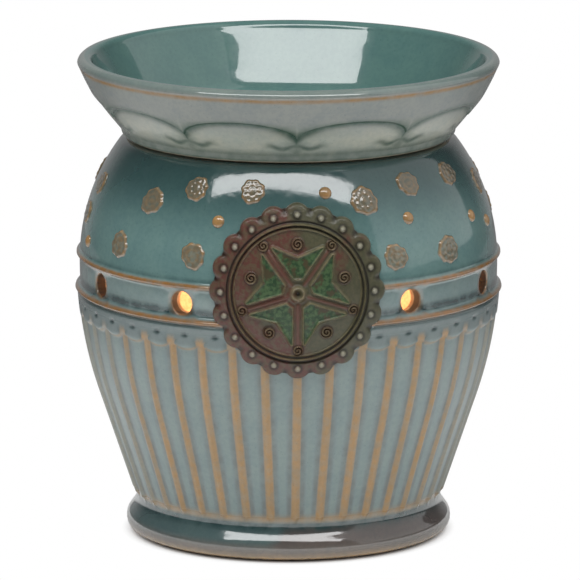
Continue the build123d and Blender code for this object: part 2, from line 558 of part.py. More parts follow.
def bulb_outline(skin):
    """Edges of the bulb's outside, or of its inside with a skin: neck, flare and globe to the top."""
    globe_r, neck_r = BULB_R - skin, BULB_NECK_R - skin
    drop = BULB_SHOULDER_Z - BULB_Z
    shoulder = (math.sqrt(globe_r**2 - drop**2), BULB_SHOULDER_Z)
    slope = (-drop, shoulder[0])
    across = globe_r * math.sqrt(0.5)
    return [
        Line((neck_r, BULB_NECK_Z), (neck_r, BULB_NECK_TOP_Z)),
        Spline((neck_r, BULB_NECK_TOP_Z), shoulder, tangents=[(0, 1), slope]),
        ThreePointArc(shoulder, (across, BULB_Z + across), (0, BULB_Z + globe_r)),
    ]


def bulb_glass():
    """The blown globe, open at the bottom where the stem is sealed in."""
    top = BULB_Z + BULB_R
    return turned(
        *bulb_outline(0),
        Line((0, top), (0, top - GLASS_WALL)),
        *bulb_outline(GLASS_WALL),
        Line((BULB_NECK_R - GLASS_WALL, BULB_NECK_Z), (BULB_NECK_R, BULB_NECK_Z)),
    )


def bulb_stem():
    """The glass flare and pinch that seal the neck and carry the wires."""
    flare_r, flare_z = BULB_NECK_R - GLASS_WALL, BULB_NECK_Z + 1
    waist, top = (STEM_R + 0.8, flare_z + 3), (STEM_R, STEM_TOP_Z)
    return turned(
        *path((0, BULB_NECK_Z), (flare_r, BULB_NECK_Z), (flare_r, flare_z)),
        Spline((flare_r, flare_z), waist, top, tangents=[(-1, 0.6), (0, 1)]),
        *path(top, (0, STEM_TOP_Z), (0, BULB_NECK_Z)),
    )


def bulb_cap():
    """The rolled screw cap with the skirt that holds the glass."""
    skin, taper = BULB_CAP_SKIN, 1.8
    thread = rolled_sleeve(BULB_CAP_R, skin, BULB_CAP_LOW_Z, BULB_CAP_TOP_Z)
    inner = BULB_CAP_R - THREAD_DEPTH / 2 - skin
    skirt = turned(
        *path(
            (inner, BULB_CAP_TOP_Z),
            (inner + skin, BULB_CAP_TOP_Z),
            (COLLAR_R, BULB_CAP_TOP_Z + taper),
            (COLLAR_R, COLLAR_TOP_Z),
            (COLLAR_R - skin, COLLAR_TOP_Z),
            (COLLAR_R - skin, BULB_CAP_TOP_Z + taper),
            (inner, BULB_CAP_TOP_Z),
        )
    )
    return thread + skirt


def bulb_insulator():
    """The black glass plug at the cap's lower end."""
    low, rim, top = TIP_Z + TIP_THICK, BULB_CAP_LOW_Z, BULB_CAP_LOW_Z + 1
    width = BULB_CAP_R - THREAD_DEPTH / 2 - BULB_CAP_SKIN
    return turned(*path((0, low), (TIP_R, low), (width, rim), (width - 0.4, top), (0, top), (0, low)))


def bulb_tip():
    """The solder button under the insulator."""
    return ring(TIP_R, 0, TIP_Z, TIP_Z + TIP_THICK)


def bulb_wires():
    """The two leads, and the filament that they hold up in an arc."""
    leads = []
    for side in (-1, 1):
        run = Line((side * 1.2, 0, STEM_TOP_Z + WIRE_R), (side * FILAMENT_HALF_SPAN, 0, FILAMENT_Z))
        leads.append(sweep(Plane(origin=run @ 0, z_dir=run % 0) * Circle(WIRE_R), run))
    start = (-FILAMENT_HALF_SPAN, 0, FILAMENT_Z + 2 * WIRE_R)
    end = (FILAMENT_HALF_SPAN, 0, FILAMENT_Z + 2 * WIRE_R)
    arc = ThreePointArc(start, (0, 0, FILAMENT_Z + FILAMENT_RISE), end)
    return Compound(leads), sweep(Plane(origin=start, z_dir=arc % 0) * Circle(WIRE_R), arc)


def clamp_nodes():
    """What clamps the lampholder, the urn's floor and the strap together, from the top down."""
    upper = FLOOR_TOP_Z + CUSHION_THICK
    nut_low = upper + WASHER_THICK
    strap_top = FLOOR_LOW_Z - CUSHION_THICK
    return {
        "threaded_pipe": ring(PIPE_R, PIPE_BORE_R, PIPE_LOW_Z, PIPE_TOP_Z),
        "upper_nut": hex_nut(nut_low),
        "clamp_washer": ring(WASHER_R, PIPE_R, upper, nut_low),
        "upper_cushion": ring(CUSHION_R, PIPE_R, FLOOR_TOP_Z, upper),
        "lower_cushion": ring(CUSHION_R, PIPE_R, strap_top, FLOOR_LOW_Z),
        "base_strap": base_strap(strap_top),
        "lower_nut": hex_nut(strap_top - STRAP_THICK - NUT_THICK),
    }


def base_nodes():
    """The bottom cover with its screws and feet, and the cord's grommet."""
    head_low = COVER_LOW_Z - SCREW_HEAD_THICK
    screws = [screw(x, 0, head_low, COVER_SCREW_TOP_Z) for x in (-COVER_SCREW_X, COVER_SCREW_X)]
    nodes = {"base_cover": base_cover(), "cover_screws": Compound(screws), "cord_grommet": cord_grommet()}
    for i in range(FEET):
        nodes[f"rubber_foot_{i + 1}"] = rubber_foot(i)
    return nodes


def lampholder_nodes():
    """The porcelain lampholder in its steel cup, with its contacts and terminals."""
    head_low = CAP_LOW_Z - SCREW_HEAD_THICK
    screws = [screw(0, y, head_low, HOLDER_SCREW_TOP_Z) for y in (-HOLDER_SCREW_Y, HOLDER_SCREW_Y)]
    blocks, terminal_screws = terminal_parts()
    return {
        "holder_cap": holder_cap(),
        "holder_screws": Compound(screws),
        "lampholder": lampholder(),
        "socket_sleeve": socket_sleeve(),
        "centre_contact": centre_contact(),
        "terminal_blocks": blocks,
        "terminal_screws": terminal_screws,
    }


def lamp_nodes():
    """The lamp's own pieces."""
    leads, filament = bulb_wires()
    return {
        "bulb_glass": bulb_glass(),
        "bulb_stem": bulb_stem(),
        "bulb_leads": leads,
        "bulb_filament": filament,
        "bulb_cap": bulb_cap(),
        "bulb_insulator": bulb_insulator(),
        "bulb_tip": bulb_tip(),
    }


def main():
    """Write every node to its own file."""
    os.makedirs("parts", exist_ok=True)
    nodes = {"body_shell": body_shell(), "medallion": medallion(), "wax_dish": wax_dish()}
    nodes |= clamp_nodes() | base_nodes() | lampholder_nodes() | lamp_nodes()
    for name, shape in nodes.items():
        export_step(shape, f"parts/{name}.step")


main()
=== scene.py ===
"""Looks of an electric wax melt warmer: a glazed stoneware urn with its plaque and loose dish, over a lamp.

Sizes are in metres, in the same frame as the solids: +Z is up, the plaque faces -Y, and angles about Z
are counted from the plaque, to the right as seen from the front.
"""

import math

import bmesh
import bpy
import numpy as np
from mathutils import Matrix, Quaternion, Vector


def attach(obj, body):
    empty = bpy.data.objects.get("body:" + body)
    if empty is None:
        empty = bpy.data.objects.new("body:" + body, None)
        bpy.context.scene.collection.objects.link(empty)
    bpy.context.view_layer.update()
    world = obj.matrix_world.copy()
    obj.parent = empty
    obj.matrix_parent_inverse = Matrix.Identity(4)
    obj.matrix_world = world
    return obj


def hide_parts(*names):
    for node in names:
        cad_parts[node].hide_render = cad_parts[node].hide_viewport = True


TURN = 2 * math.pi

# Camera: how far off and how high it stands, and how far to the left of the plaque
CAMERA_AWAY, CAMERA_RISE, CAMERA_LEFT = 2.6, math.radians(11.7), math.radians(2.5)
AIM_Z, AIM_RIGHT = 0.079, 0.0005
SENSOR, LENS, SEES_TO = 36.0, 505.9, 20.0

# Lights: the key and the top box stand square to a line that rises at this angle, and their edges are
# counted from it. Gloss doesn't show the top box, and only gloss shows the card, upright at the right.
KEY_RISE, KEY_FROM_Z, KEY_AWAY = math.radians(40), 0.12, 1.0
KEY_X, KEY_UP, KEY_RADIANCE = (-0.90, 0.63), (0.165, 0.41), 4.0
TOP_X, TOP_UP, TOP_RADIANCE = (-0.92, 0.66), (0.41, 2.05), 3.6
BOX_ROLL = math.radians(-8)  # how far both boxes hang lower at their right end
CARD_X, CARD_Y, CARD_Z, CARD_RADIANCE = 1.0, (-0.90, 0.58), (0.10, 3.0), 0.38
ROOM_FRONT, ROOM_BACK, ROOM_FILL, ROOM_TURNS_BRIGHT = 0.05, 0.26, 0.26, (0.7, 0.98)

# Floor: where its painted darkening begins, where its shadow ends, and its painted bright part, a little
# wider than it is long
FLOOR_HALF, FLOOR_PAINTED_FADE, SHADOW_REACH = 0.7, (0.20, 0.46), (0.0485, 0.0550)
FLOOR_PAINTED_LIGHT_Y, FLOOR_PAINTED_LIGHT_ACROSS = -0.17, 0.9

# The urn's plain wall, as the solid has it
NECK_R, NECK_Z = 0.0493, 0.0123
WIDEST_R, WIDEST_Z = 0.06795, 0.0895
LOWER_ARC_R, UPPER_ARC_R, RIM_ARC_R = 0.134, 0.066, 0.0066
RIM_Z, WALL = 0.1312, 0.005
CONE_TILT, CONE_TOP_Z = math.radians(18.7), 0.0465
SHOULDER = math.asin((RIM_Z - RIM_ARC_R - WIDEST_Z) / (UPPER_ARC_R - RIM_ARC_R))
FOOT_LINE = [
    (0.0500, 0.0008), (0.0512, 0.0010), (0.0521, 0.0018), (0.0527, 0.0030), (0.0529, 0.0046),
    (0.0526, 0.0062), (0.0519, 0.0073), (0.0511, 0.0084), (0.0503, 0.0095), (0.0498, 0.0106),
    (0.0497, 0.0119), (0.0497, 0.0134),
]
THROAT_LINE = [(0.0478, 0.1312), (0.0468, 0.1309), (0.0465, 0.1302), (0.0465, 0.1276)]
FLOOR_LINE = [
    (0.0437, 0.0166), (0.030, 0.0166), (0.016, 0.0166), (0.0054, 0.0166), (0.0054, 0.0116),
    (0.016, 0.0116), (0.030, 0.0116), (0.0458, 0.0116), (0.0458, 0.0050), (0.0458, 0.0008),
]

# Relief on the urn
RIBS, COLUMNS_PER_RIB, COLUMNS_BEFORE_RIB = 40, 12, 3
RIB_STEP = TURN / RIBS
RIB_HALF, RIB_HEIGHT, RIB_STARTS_Z, FLUTE_DEPTH = 0.0014, 0.0009, (0.0124, 0.0144), 0.0001
RIB_GRID_HALF, RIB_FOOT_HALF, RIB_BARE_HALF = 1.15 * RIB_HALF, 1.2 * RIB_HALF, 0.75 * RIB_HALF
TRIM_HEIGHT, TRIM_TOP_Z, TRIM_FALLS_Z = 0.0011, 0.0803, (0.0795, 0.0807)
LOBE_LOW_Z, LOBE_CUSP_Z, LOBE_POWER, LOBE_SLOPE = 0.0719, 0.0741, 2.4, (-0.0004, 0.0006)
RIB_STOPS_Z = LOBE_CUSP_Z, LOBE_CUSP_Z + 0.003
EYELET_R, EYELET_Z, EYELET_DEPTH, EYELET_SLOPE = 0.0007, 0.0769, 0.0006, (0.00021, 0.00091)
RIDGES = [(0.0812, 0.0017, 0.0017), (0.0925, 0.0016, 0.0011)]  # (middle, half width, height)
WINDOWS, WINDOW_R, WINDOW_Z, WINDOW_EDGE_R = 11, 0.0038, 0.0869, 0.0005
PLAQUE_SEAT = 0.0248, 0.0263

# Glaze run thin or pooled, with painted shade and reflection among them: middle, half width and strength of
# each soft stripe
LACE_THIN, NECK_THIN, FOOT_THIN_AND_REFLECTION = (0.0001, 0.00045, 0.75), (0.0139, 0.0012, 0.8), (0.0011, 0.0014, 0.9)
# Beside the ribs: partly pooled glaze, partly painted shade; over the foot: painted shade in the neck's
# hollow
RIB_POOL_AND_SHADE, NECK_PAINTED_SHADE = (1.4 * RIB_HALF, 0.0007, 0.75), (0.0116, 0.0020)
BELT_POOLS = [(0.0840, 0.0013, 1.3), (0.0944, 0.0008, 0.5)]
LACE_FADES, RIDGE_FADES = (0.3, 0.5), (0.0005, 0.0012)
WINDOW_THIN, WINDOW_FADES = 0.7, (WINDOW_R, WINDOW_R + 0.0007)
SMUDGE_X, SMUDGE_Z, SMUDGE_FADES = 0.0016, 0.0009, (0.5, 1.1)
# Painted reflection: the ribs' ochre is painted greyer at the sides, left and right of the plaque, standing
# for grazing reflection
SIDE_OCHRE, SIDE_TURNS = 0.3, (-0.75, 0.05)  # share of the ribs' ochre left and right, and where it fades

# Rings of the grid about a window: the first is its edge, and the last lies on the plain grid
WINDOW_CELLS = 4
WINDOW_OFFSETS = [0.0, 0.00095, 0.0019, 0.00285, 0.0036, 0.00395, 0.00425, 0.0046, 0.0050]
WINDOW_RINGS = {4: (0.0038, 1), 5: (0.00388, 1), 6: (0.00410, 1), 7: (0.0047, 0.6)}  # radius, how round
# Rings of the urn's grid below and over the windows, outside and inside: (to this height, this far apart)
LOW_RINGS = [(0.0162, 0.0009), (LOBE_LOW_Z - 0.001, 0.0021), (0.0796, 0.0005)]
LOW_RINGS += [(WINDOW_Z - WINDOW_OFFSETS[-1], 0.00038)]
HIGH_RINGS = [(0.0943, 0.00038), (RIM_Z - RIM_ARC_R + RIM_ARC_R * math.sin(SHOULDER), 0.0013)]
INSIDE_HIGH_RINGS, INSIDE_LOW_RINGS = (WINDOW_Z + WINDOW_OFFSETS[-1], 0.006), (0.0186, 0.008)
INSIDE_TOP_Z, FOOT_LINE_GAP = 0.124, 0.0011
# Rings down a window's side, as shares of the way in, and how far each still has glaze on it
WINDOW_SIDE_SHARES, WINDOW_SIDE_GLAZED = (0.04, 0.6, 0.74, 0.96), (1.0, 1.0, 0.15, 0.0)

# Flowers above the belt: (degrees from the plaque, height, scale), and dots: (degrees, height)
FLOWER_PLACES = [
    (-56.6, 0.1020, 0.95), (-29.6, 0.1023, 0.95), (28.4, 0.1016, 0.95), (47.4, 0.1012, 1.05),
    (-83.8, 0.1070, 0.9), (-47.1, 0.1172, 1.0), (-32.1, 0.1226, 0.9), (-13.6, 0.1229, 0.9),
    (20.9, 0.1195, 1.05), (37.9, 0.1230, 0.95), (57.9, 0.1233, 0.95), (-79.9, 0.1172, 0.9),
    (78.0, 0.1175, 1.0),
]
BACK_FLOWER_PLACES = [(-5.0, 0.1176, 1.0), (9.5, 0.1024, 1.0), (-9.5, 0.1014, 0.95)]
DOT_PLACES = [
    (-23.1, 0.1135), (34.4, 0.1130), (62.4, 0.1092), (8.9, 0.1225), (73.4, 0.1055), (-76.5, 0.0990),
]
PETALS, FLOWER_R, FLOWER_LOBE, FLOWER_HEIGHT, FLOWER_PHASE = 8, 0.0046, 0.0002, 0.0007, 2.4
DOT_R, DOT_HEIGHT = 0.0021, 0.00095
FLOWER_GRID, DOT_GRID = (16, 56), (10, 32)  # rings and columns
SPRIG_ROOT = 0.0006  # how deep a flower or dot is rooted in the wall

# Plaque
PLAQUE_Z, PLAQUE_R = 0.092, 0.0266
SCALLOPS, SCALLOP_R, SCALLOP_RING_R = 20, 0.0042, 0.0238
PLAQUE_COLUMNS, PLAQUE_STEP, PLAQUE_EVEN_R, PLAQUE_BORDER_RINGS = 600, 0.00023, 0.0231, 16
FIELD_HEIGHT, BORDER_HEIGHT, BORDER_STARTS_R = 0.0013, 0.0018, (0.0224, 0.0230)
PLAQUE_EDGE_R, PLAQUE_ROOT = 0.0009, 0.0004
STUD_R, STUD_RING_R, STUD_RISE = 0.0009, 0.0246, 0.0010
CREASE_SHARE, CREASE_STARTS_R, CREASE_DEPTH = 0.12, (0.0240, 0.0262), 0.0005
BEADS = [(0.0216, 0.0005, 0.0011), (0.0203, 0.0004, 0.0006)]  # (radius, half width, height)
GROOVES = [(0.0210, 0.0003), (0.0225, 0.0004)]  # (radius, half width)
SPOKES, SPOKE_HALF, SPOKE_STARTS_R, SPOKE_STOPS_R = 5, 0.00117, (0.0026, 0.0036), (0.0168, 0.0178)
SPOKE_RISE, LEAF_RISE, LEAF_EDGE_RISE, CURL_RISE = 0.0004, 0.0004, 0.0007, 0.0008
LEAF_GAP, LEAF_SHOULDER_R, LEAF_TIP_R, LEAF_NOTCH_R = 0.0015, 0.0042, 0.0168, 0.0116
LEAF_ROUND, LEAF_SLOPE, LEAF_EDGE = 0.0005, (-0.0003, 0.0002), (-0.0001, 0.00034)
CURL_PITCH = 0.00095
CURLS = [(True, 0.0186, 0.0019), (False, 0.0156, 0.0022)]  # (on a spoke's line, distance out, size)
BOSS, BOSS_RISE, PIT_R, PIT_DEPTH = (0.0019, 0.0007), 0.0013, 0.0009, 0.0004

# Dish
DISH_LINE = [
    (0.0538, 0.1319), (0.0554, 0.1341), (0.0594, 0.1390), (0.0631, 0.1441), (0.0660, 0.1495),
    (0.0680, 0.1538),
]
LIP_LINE = [
    (0.0680, 0.1538), (0.0684, 0.1547), (0.0682, 0.1554), (0.0678, 0.1560), (0.0668, 0.1567),
    (0.0652, 0.1568), (0.0640, 0.1560), (0.0632, 0.1545),
]
BOWL_LINE = [
    (0.0632, 0.1545), (0.06135, 0.1513), (0.0588, 0.1470), (0.05615, 0.1425), (0.0534, 0.1378),
    (0.0519, 0.1360), (0.0488, 0.1353), (0.0420, 0.1351), (0.0200, 0.1351),
]
DISH_UNDER_LINE = [
    (0.0200, 0.1312), (0.0415, 0.1312), (0.0415, 0.1268), (0.0418, 0.1265), (0.0447, 0.1265),
    (0.0450, 0.1268), (0.0450, 0.1312), (0.0524, 0.1312), (0.0534, 0.1314),
]
DISH_COLUMNS, DISH_LINE_GAP, LIP_GAP, BOWL_GAP = 720, 0.0002, 0.00035, 0.0017
LIP_THIN, LIP_THIN_FROM_R = (0.1536, 0.0006), 0.0675
LIP_OUTER_RINGS = 12  # rings of the lip that don't have the bowl's glaze
ARCHES, ARCH_FOOT_Z, ARCH_RISE, ARCH_HALF_WIDTH, ARCH_R = 10, 0.1392, 0.0063, 0.0188, 0.0595
ARCH_DEPTH, ARCH_SLOPE, ARCH_STARTS_Z = 0.0005, (-0.0004, 0.0004), (0.1323, 0.1334)
ARCH_LINE_HALF, ARCH_CUSP_EXTRA, ARCH_LINE_DROP = 0.0012, 0.0026, 0.0004
ARCH_EDGE_OFFSETS = [-0.0012, -0.0008, -0.0005, -0.00025, 0.0, 0.00025, 0.0005, 0.0008, 0.0012]
RINGS_UNDER_ARCHES, RINGS_OVER_ARCHES = 24, 14
CURL_LINE_Z, CURL_LINE_RISE, CURL_LINE_PITCH, CURL_LINE_HALF = 0.1366, 0.0006, 0.0085, 0.0011
CURL_LINE_FADES, CURL_LINE_POOL = (0.0059, 0.0118), 0.85
CUSP_HALF, CUSP_FADES_Z, CUSP_POOL = 0.0034, (0.1384, 0.1396), 0.6
LOW_POOL, LOW_POOL_FADES_Z = 0.8, (0.1329, 0.1364)

# Cord notch
NOTCH_R, NOTCH_Z, NOTCH_NEAR_Y, NOTCH_FAR_Y, NOTCH_ARC_STEPS = 0.0043, 0.0062, 0.040, 0.060, 23

# Glazes: the urn's shades from the foot up, with the heights between which each takes over, and then
# where other shades change with height or to the right
URN_SHADES = [
    ((0.0105, 0.0135), (124, 146, 145)),
    ((0.0722, 0.0740), (106, 124, 124)),
    ((0.0810, 0.0825), (130, 153, 152)),
    ((0.0915, 0.0945), (110, 144, 142)),
    # Painted shade: the top of the shoulder, under the dish's overhang, is painted darker for the dish's
    # shadow
    ((0.1040, 0.1250), (60, 92, 92)),
]
# Below the first heights here the foot is painted pale grey, and below the next its ochre is painted pale:
# painted reflection of the floor
FOOT_PAINTED_REFLECTION_Z, OCHRE_PAINTED_REFLECTION_Z, OCHRE_BROWN_Z = (0.0035, 0.0075), (0.003, 0.012), (0.075, 0.081)
RIBS_START_Z, RIBS_STOP_Z, SATIN_STOPS_Z = (0.0135, 0.0150), (0.070, 0.074), (0.076, 0.080)
FOOT_BROWNER, PLAQUE_REDDER = 5.0, -7.0
# Below the first of these heights the dish's outside is painted paler: painted light for the lower part,
# which gets less of it
DISH_PAINTED_LIGHT_Z, LIP_GLOSSY_Z, LIP_DARK_Z = (0.1385, 0.1475), (0.1538, 0.1550), (0.1543, 0.1556)

SHARP_ANGLE = math.radians(60)


def step(low, high, x):
    """Smoothly from 0 at low to 1 at high."""
    share = np.clip((x - low) / (high - low), 0, 1)
    return share * share * (3 - 2 * share)


def stripe(x, middle, half, strength=1.0):
    """A soft stripe: strength at the middle, falling to nothing past about twice the half width."""
    return strength * np.exp(-(((x - middle) / half) ** 2))


def crest(x, half):
    """A round crest of height 1, down to 0 at the half width."""
    return np.cos(np.clip(np.abs(x) / half, 0, 1) * math.pi / 2) ** 2


def spread(start, *stretches):
    """Even steps from start through stretches, each (to here, about this far apart), without the end."""
    steps = []
    for end, gap in stretches:
        steps.append(np.linspace(start, end, max(1, round(abs(end - start) / gap)), endpoint=False))
        start = end
    return np.concatenate(steps)


def smooth_line(points, gap):
    """Even steps along a smooth curve through (radius, height) points, both ends included."""
    knots = np.array(points)
    padded = np.vstack([2 * knots[0] - knots[1], knots, 2 * knots[-1] - knots[-2]])
    fine, share = [], np.linspace(0, 1, 33)[:-1, None]
    for a, b, c, d in zip(padded, padded[1:], padded[2:], padded[3:]):
        bend = (2 * a - 5 * b + 4 * c - d) * share**2 + (3 * b - a - 3 * c + d) * share**3
        fine.append(b + ((c - a) * share + bend) / 2)
    fine = np.vstack([*fine, knots[-1:]])
    along = np.concatenate([[0], np.cumsum(np.linalg.norm(np.diff(fine, axis=0), axis=1))])
    at = np.linspace(0, along[-1], max(2, round(along[-1] / gap)) + 1)
    return np.stack([np.interp(at, along, fine[:, 0]), np.interp(at, along, fine[:, 1])], 1)


def wall_tilt(z):
    """How far the urn's plain wall leans out (negative) or in (positive) at a height."""
    lower, upper = (np.arcsin(np.clip((z - WIDEST_Z) / arc, -1, 1)) for arc in (LOWER_ARC_R, UPPER_ARC_R))
    return np.where(z > WIDEST_Z, upper, np.maximum(lower, -CONE_TILT))


def wall_radius(z, grow=0.0):
    """Radius of the urn's plain wall at a height, with the wall moved square to itself by grow."""
    upper, lower = (
        WIDEST_R - arc + np.sqrt(np.maximum((arc + grow) ** 2 - (z - WIDEST_Z) ** 2, 0))
        for arc in (UPPER_ARC_R, LOWER_ARC_R)
    )
    cone = NECK_R + (z - NECK_Z) * math.tan(CONE_TILT) + grow / math.cos(CONE_TILT)
    return np.where(z > WIDEST_Z, upper, np.where(z > CONE_TOP_Z, lower, cone))


def about_axis(angle, radius, height):
    """Points at these angles from the plaque, radii and heights."""
    return np.stack([radius * np.sin(angle), -radius * np.cos(angle), height + 0 * angle], -1)


def bands(table):
    """Faces between the rows of a table of vertex numbers, whose columns wrap round."""
    low, high = table[:-1], table[1:]
    return np.stack([low, np.roll(low, -1, 1), np.roll(high, -1, 1), high], -1)


def capped(rows, columns):
    """Faces of a grid of points whose first and last rows are poles, where only the first point counts."""
    table = np.arange(rows * columns).reshape(rows, columns)
    fans = []
    for pole, ring in ((table[0, 0], table[1]), (table[-1, 0], table[-2])):
        fans += [[pole, a, b] for a, b in zip(ring, np.roll(ring, -1))]
    return [bands(table[1:-1]).reshape(-1, 4), np.array(fans)]


def add_object(name, data):
    """An object in the scene."""
    thing = bpy.data.objects.new(name, data)
    bpy.context.scene.collection.objects.link(thing)
    return thing


def build(name, points, faces, tones, material):
    """A mesh object with smooth faces that all point outwards, and one number per point for each tone."""
    used = np.unique(np.concatenate([table.ravel() for table in faces]))
    renumber = np.zeros(used[-1] + 1, int)
    renumber[used] = np.arange(len(used))
    corners = []
    for table in faces:
        corners += renumber[table].tolist()
    mesh = bpy.data.meshes.new(name)
    mesh.from_pydata(points.reshape(-1, 3)[used].tolist(), [], corners)
    for tone, values in tones.items():
        layer = mesh.attributes.new(tone, "FLOAT", "POINT")
        layer.data.foreach_set("value", values.ravel()[used].astype(np.float32))
    turn_outwards(mesh)
    mesh.shade_smooth()
    mesh.set_sharp_from_angle(angle=SHARP_ANGLE)
    mesh.materials.append(material)
    return add_object(name, mesh)


def turn_outwards(mesh):
    """Points all faces of a closed mesh outwards."""
    work = bmesh.new()
    work.from_mesh(mesh)
    bmesh.ops.recalc_face_normals(work, faces=work.faces)
    work.to_mesh(mesh)
    work.free()


def urn_section():
    """Rings of the urn, once round its section: radius, height and side, 1 outside, -1 inside, else 0."""
    around_window = WINDOW_Z + np.array([-x for x in WINDOW_OFFSETS[:0:-1]] + WINDOW_OFFSETS)
    low, high = spread(FOOT_LINE[-1][1], *LOW_RINGS), spread(around_window[-1], *HIGH_RINGS)
    outside = np.concatenate([low, around_window[:-1], high])
    high, low = spread(INSIDE_TOP_Z, INSIDE_HIGH_RINGS), spread(around_window[0], INSIDE_LOW_RINGS)
    inside = np.concatenate([high, around_window[:0:-1], low, INSIDE_LOW_RINGS[:1]])
    turns = np.linspace(SHOULDER, math.pi / 2, 8)
    middle = WIDEST_R - UPPER_ARC_R + (UPPER_ARC_R - RIM_ARC_R) * math.cos(SHOULDER)
    rim = np.stack([middle + RIM_ARC_R * np.cos(turns), RIM_Z - RIM_ARC_R + RIM_ARC_R * np.sin(turns)], 1)
    parts = [
        (smooth_line(FOOT_LINE, FOOT_LINE_GAP)[:-1], 0),
        (np.stack([wall_radius(outside), outside], 1), 1),
        (rim, 0),
        (np.array(THROAT_LINE), 0),
        (np.stack([wall_radius(inside, -WALL), inside], 1), -1),
        (np.array(FLOOR_LINE), 0),
    ]
    side = np.concatenate([np.full(len(part), mark) for part, mark in parts])
    return np.vstack([part for part, _ in parts]), side


def pitch_columns(line, side):
    """Angles of the grid's columns on each ring: drawn in about the ribs and the eyelets, else even."""
    even = (np.arange(COLUMNS_PER_RIB) - COLUMNS_BEFORE_RIB) / COLUMNS_PER_RIB
    radius, height = line[:, 0], line[:, 1]
    rib = (RIB_GRID_HALF / radius / RIB_STEP)[:, None]
    flute = np.arange(1, 6) / 6 * (1 - 2 * rib) + rib
    crowded = np.hstack([np.array([-1, -0.66, -0.33, 0, 0.33, 0.66, 1]) * rib, flute])
    eyelet = np.array(even)
    hole = EYELET_R / radius.mean() / RIB_STEP
    eyelet[7:12] = 0.5 + hole * np.array([-2.2, -0.9, 0, 0.9, 2.2])
    low = (side >= 0) & (height < TRIM_TOP_Z)
    ribbed = np.where(low, 1 - step(LOBE_CUSP_Z, LOBE_CUSP_Z + 0.002, height), 0)[:, None]
    holed = np.where(side > 0, crest(height - EYELET_Z, 0.003) ** 0.5, 0)[:, None]
    plain = even * (1 - holed) + eyelet * holed
    pitch = crowded * ribbed + plain * (1 - ribbed)
    return ((np.arange(RIBS)[None, :, None] + pitch[:, None, :]) * RIB_STEP).reshape(len(line), -1)


def square_ring(k):
    """Cells round a square ring, k from its middle: (row, column) offsets, with each one's angle."""
    place = np.arange(-k, 7 * k)
    row, column = np.abs(place - 4 * k) - 2 * k, 2 * k - np.abs(place - 2 * k)
    return list(zip(np.clip(row, -k, k), np.clip(column, -k, k), TURN * place / (8 * k)))


def window_places():
    """Angles of the windows. The plaque covers the place of the one in front."""
    return [TURN / WINDOWS * i for i in range(1, WINDOWS)]


def window_column(window, columns):
    """The grid's column through a window's middle."""
    return round(window / TURN * columns) + COLUMNS_BEFORE_RIB


def from_place(angle, z, radius, place, place_z):
    """Distance on the wall from a place at this angle and height, and far off on the other side."""
    off = np.hypot(radius * np.sin(angle - place), z - place_z)
    return np.where(np.cos(angle - place) > 0, off, 1.0)


def urn_relief(angle, z, radius):
    """Height over the plain wall, how thin the glaze is and how deep it lies, with painted shade beside the
    ribs, on the urn's outside.
    """
    share = angle / RIB_STEP
    from_rib = np.abs((share + 0.5) % 1 - 0.5)
    from_lobe = share % 1 - 0.5
    across, lobe_across = from_rib * RIB_STEP * radius, from_lobe * RIB_STEP * radius
    on_ribs = step(*RIB_STARTS_Z, z) * (1 - step(*RIB_STOPS_Z, z))
    rib = (1 - step(0, RIB_FOOT_HALF, across)) * on_ribs
    flute = (1 - step(0, 0.5, 0.5 - from_rib)) * on_ribs
    below = z - LOBE_LOW_Z - (LOBE_CUSP_Z - LOBE_LOW_Z) * np.abs(2 * from_lobe) ** LOBE_POWER
    trim = step(*LOBE_SLOPE, below) * (1 - step(*TRIM_FALLS_Z, z))
    eyelet = 1 - step(*EYELET_SLOPE, np.hypot(lobe_across, z - EYELET_Z))
    height = np.maximum.reduce([
        RIB_HEIGHT * rib - FLUTE_DEPTH * flute,
        TRIM_HEIGHT * trim - EYELET_DEPTH * eyelet,
        *[out * crest(z - middle, half) for middle, half, out in RIDGES],
    ])
    on_rib = (1 - step(RIB_BARE_HALF, RIB_FOOT_HALF, across)) * on_ribs
    thin = np.maximum.reduce([
        # Greyer ochre at the sides: painted grazing reflection
        on_rib * (SIDE_OCHRE + (1 - SIDE_OCHRE) * step(*SIDE_TURNS, np.cos(2 * angle))),
        stripe(below, *LACE_THIN) * (1 - step(*LACE_FADES, np.abs(from_lobe))),
        *[1 - step(*RIDGE_FADES, np.abs(z - middle)) for middle, _, _ in RIDGES],
        stripe(z, *NECK_THIN),
    ])
    pool = np.maximum.reduce([
        # Beside each rib: partly pooled glaze, partly painted shade
        stripe(across, *RIB_POOL_AND_SHADE) * on_ribs,
        1 - step(*SMUDGE_FADES, np.hypot(lobe_across / SMUDGE_X, (z - EYELET_Z) / SMUDGE_Z)),
        *[stripe(z, *pool) for pool in BELT_POOLS],
    ])
    for window in window_places():
        away = from_place(angle, z, radius, window, WINDOW_Z)
        lip = np.clip(WINDOW_R + WINDOW_EDGE_R - away, 0, WINDOW_EDGE_R)
        height = height - (WINDOW_EDGE_R - np.sqrt(WINDOW_EDGE_R**2 - lip**2))
        thin = np.maximum(thin, WINDOW_THIN * (1 - step(*WINDOW_FADES, away)))
    clear = step(*PLAQUE_SEAT, from_place(angle, z, radius, 0, PLAQUE_Z))
    return height * clear, thin, pool


def ring_block(table, row, column, k, up):
    """Vertex numbers round a square ring of a table. up is 1 where rows climb, else -1."""
    return [table[row + i * up, (column + j) % table.shape[1]] for i, j, _ in square_ring(k)]


def bend_to_windows(angle, line_z, row, up):
    """Draws the grid about each window of one wall into rings."""
    columns = angle.shape[1]
    for window in window_places():
        middle = window_column(window, columns)
        for k, (reach, share) in WINDOW_RINGS.items():
            for i, j, turn in square_ring(k):
                at = row + i * up, (middle + j) % columns
                across = math.remainder(angle[at] - window, TURN)
                angle[at] = window + across + share * (reach * math.sin(turn) / WIDEST_R - across)
                line_z[at] += share * (WINDOW_Z + reach * math.cos(turn) - line_z[at])


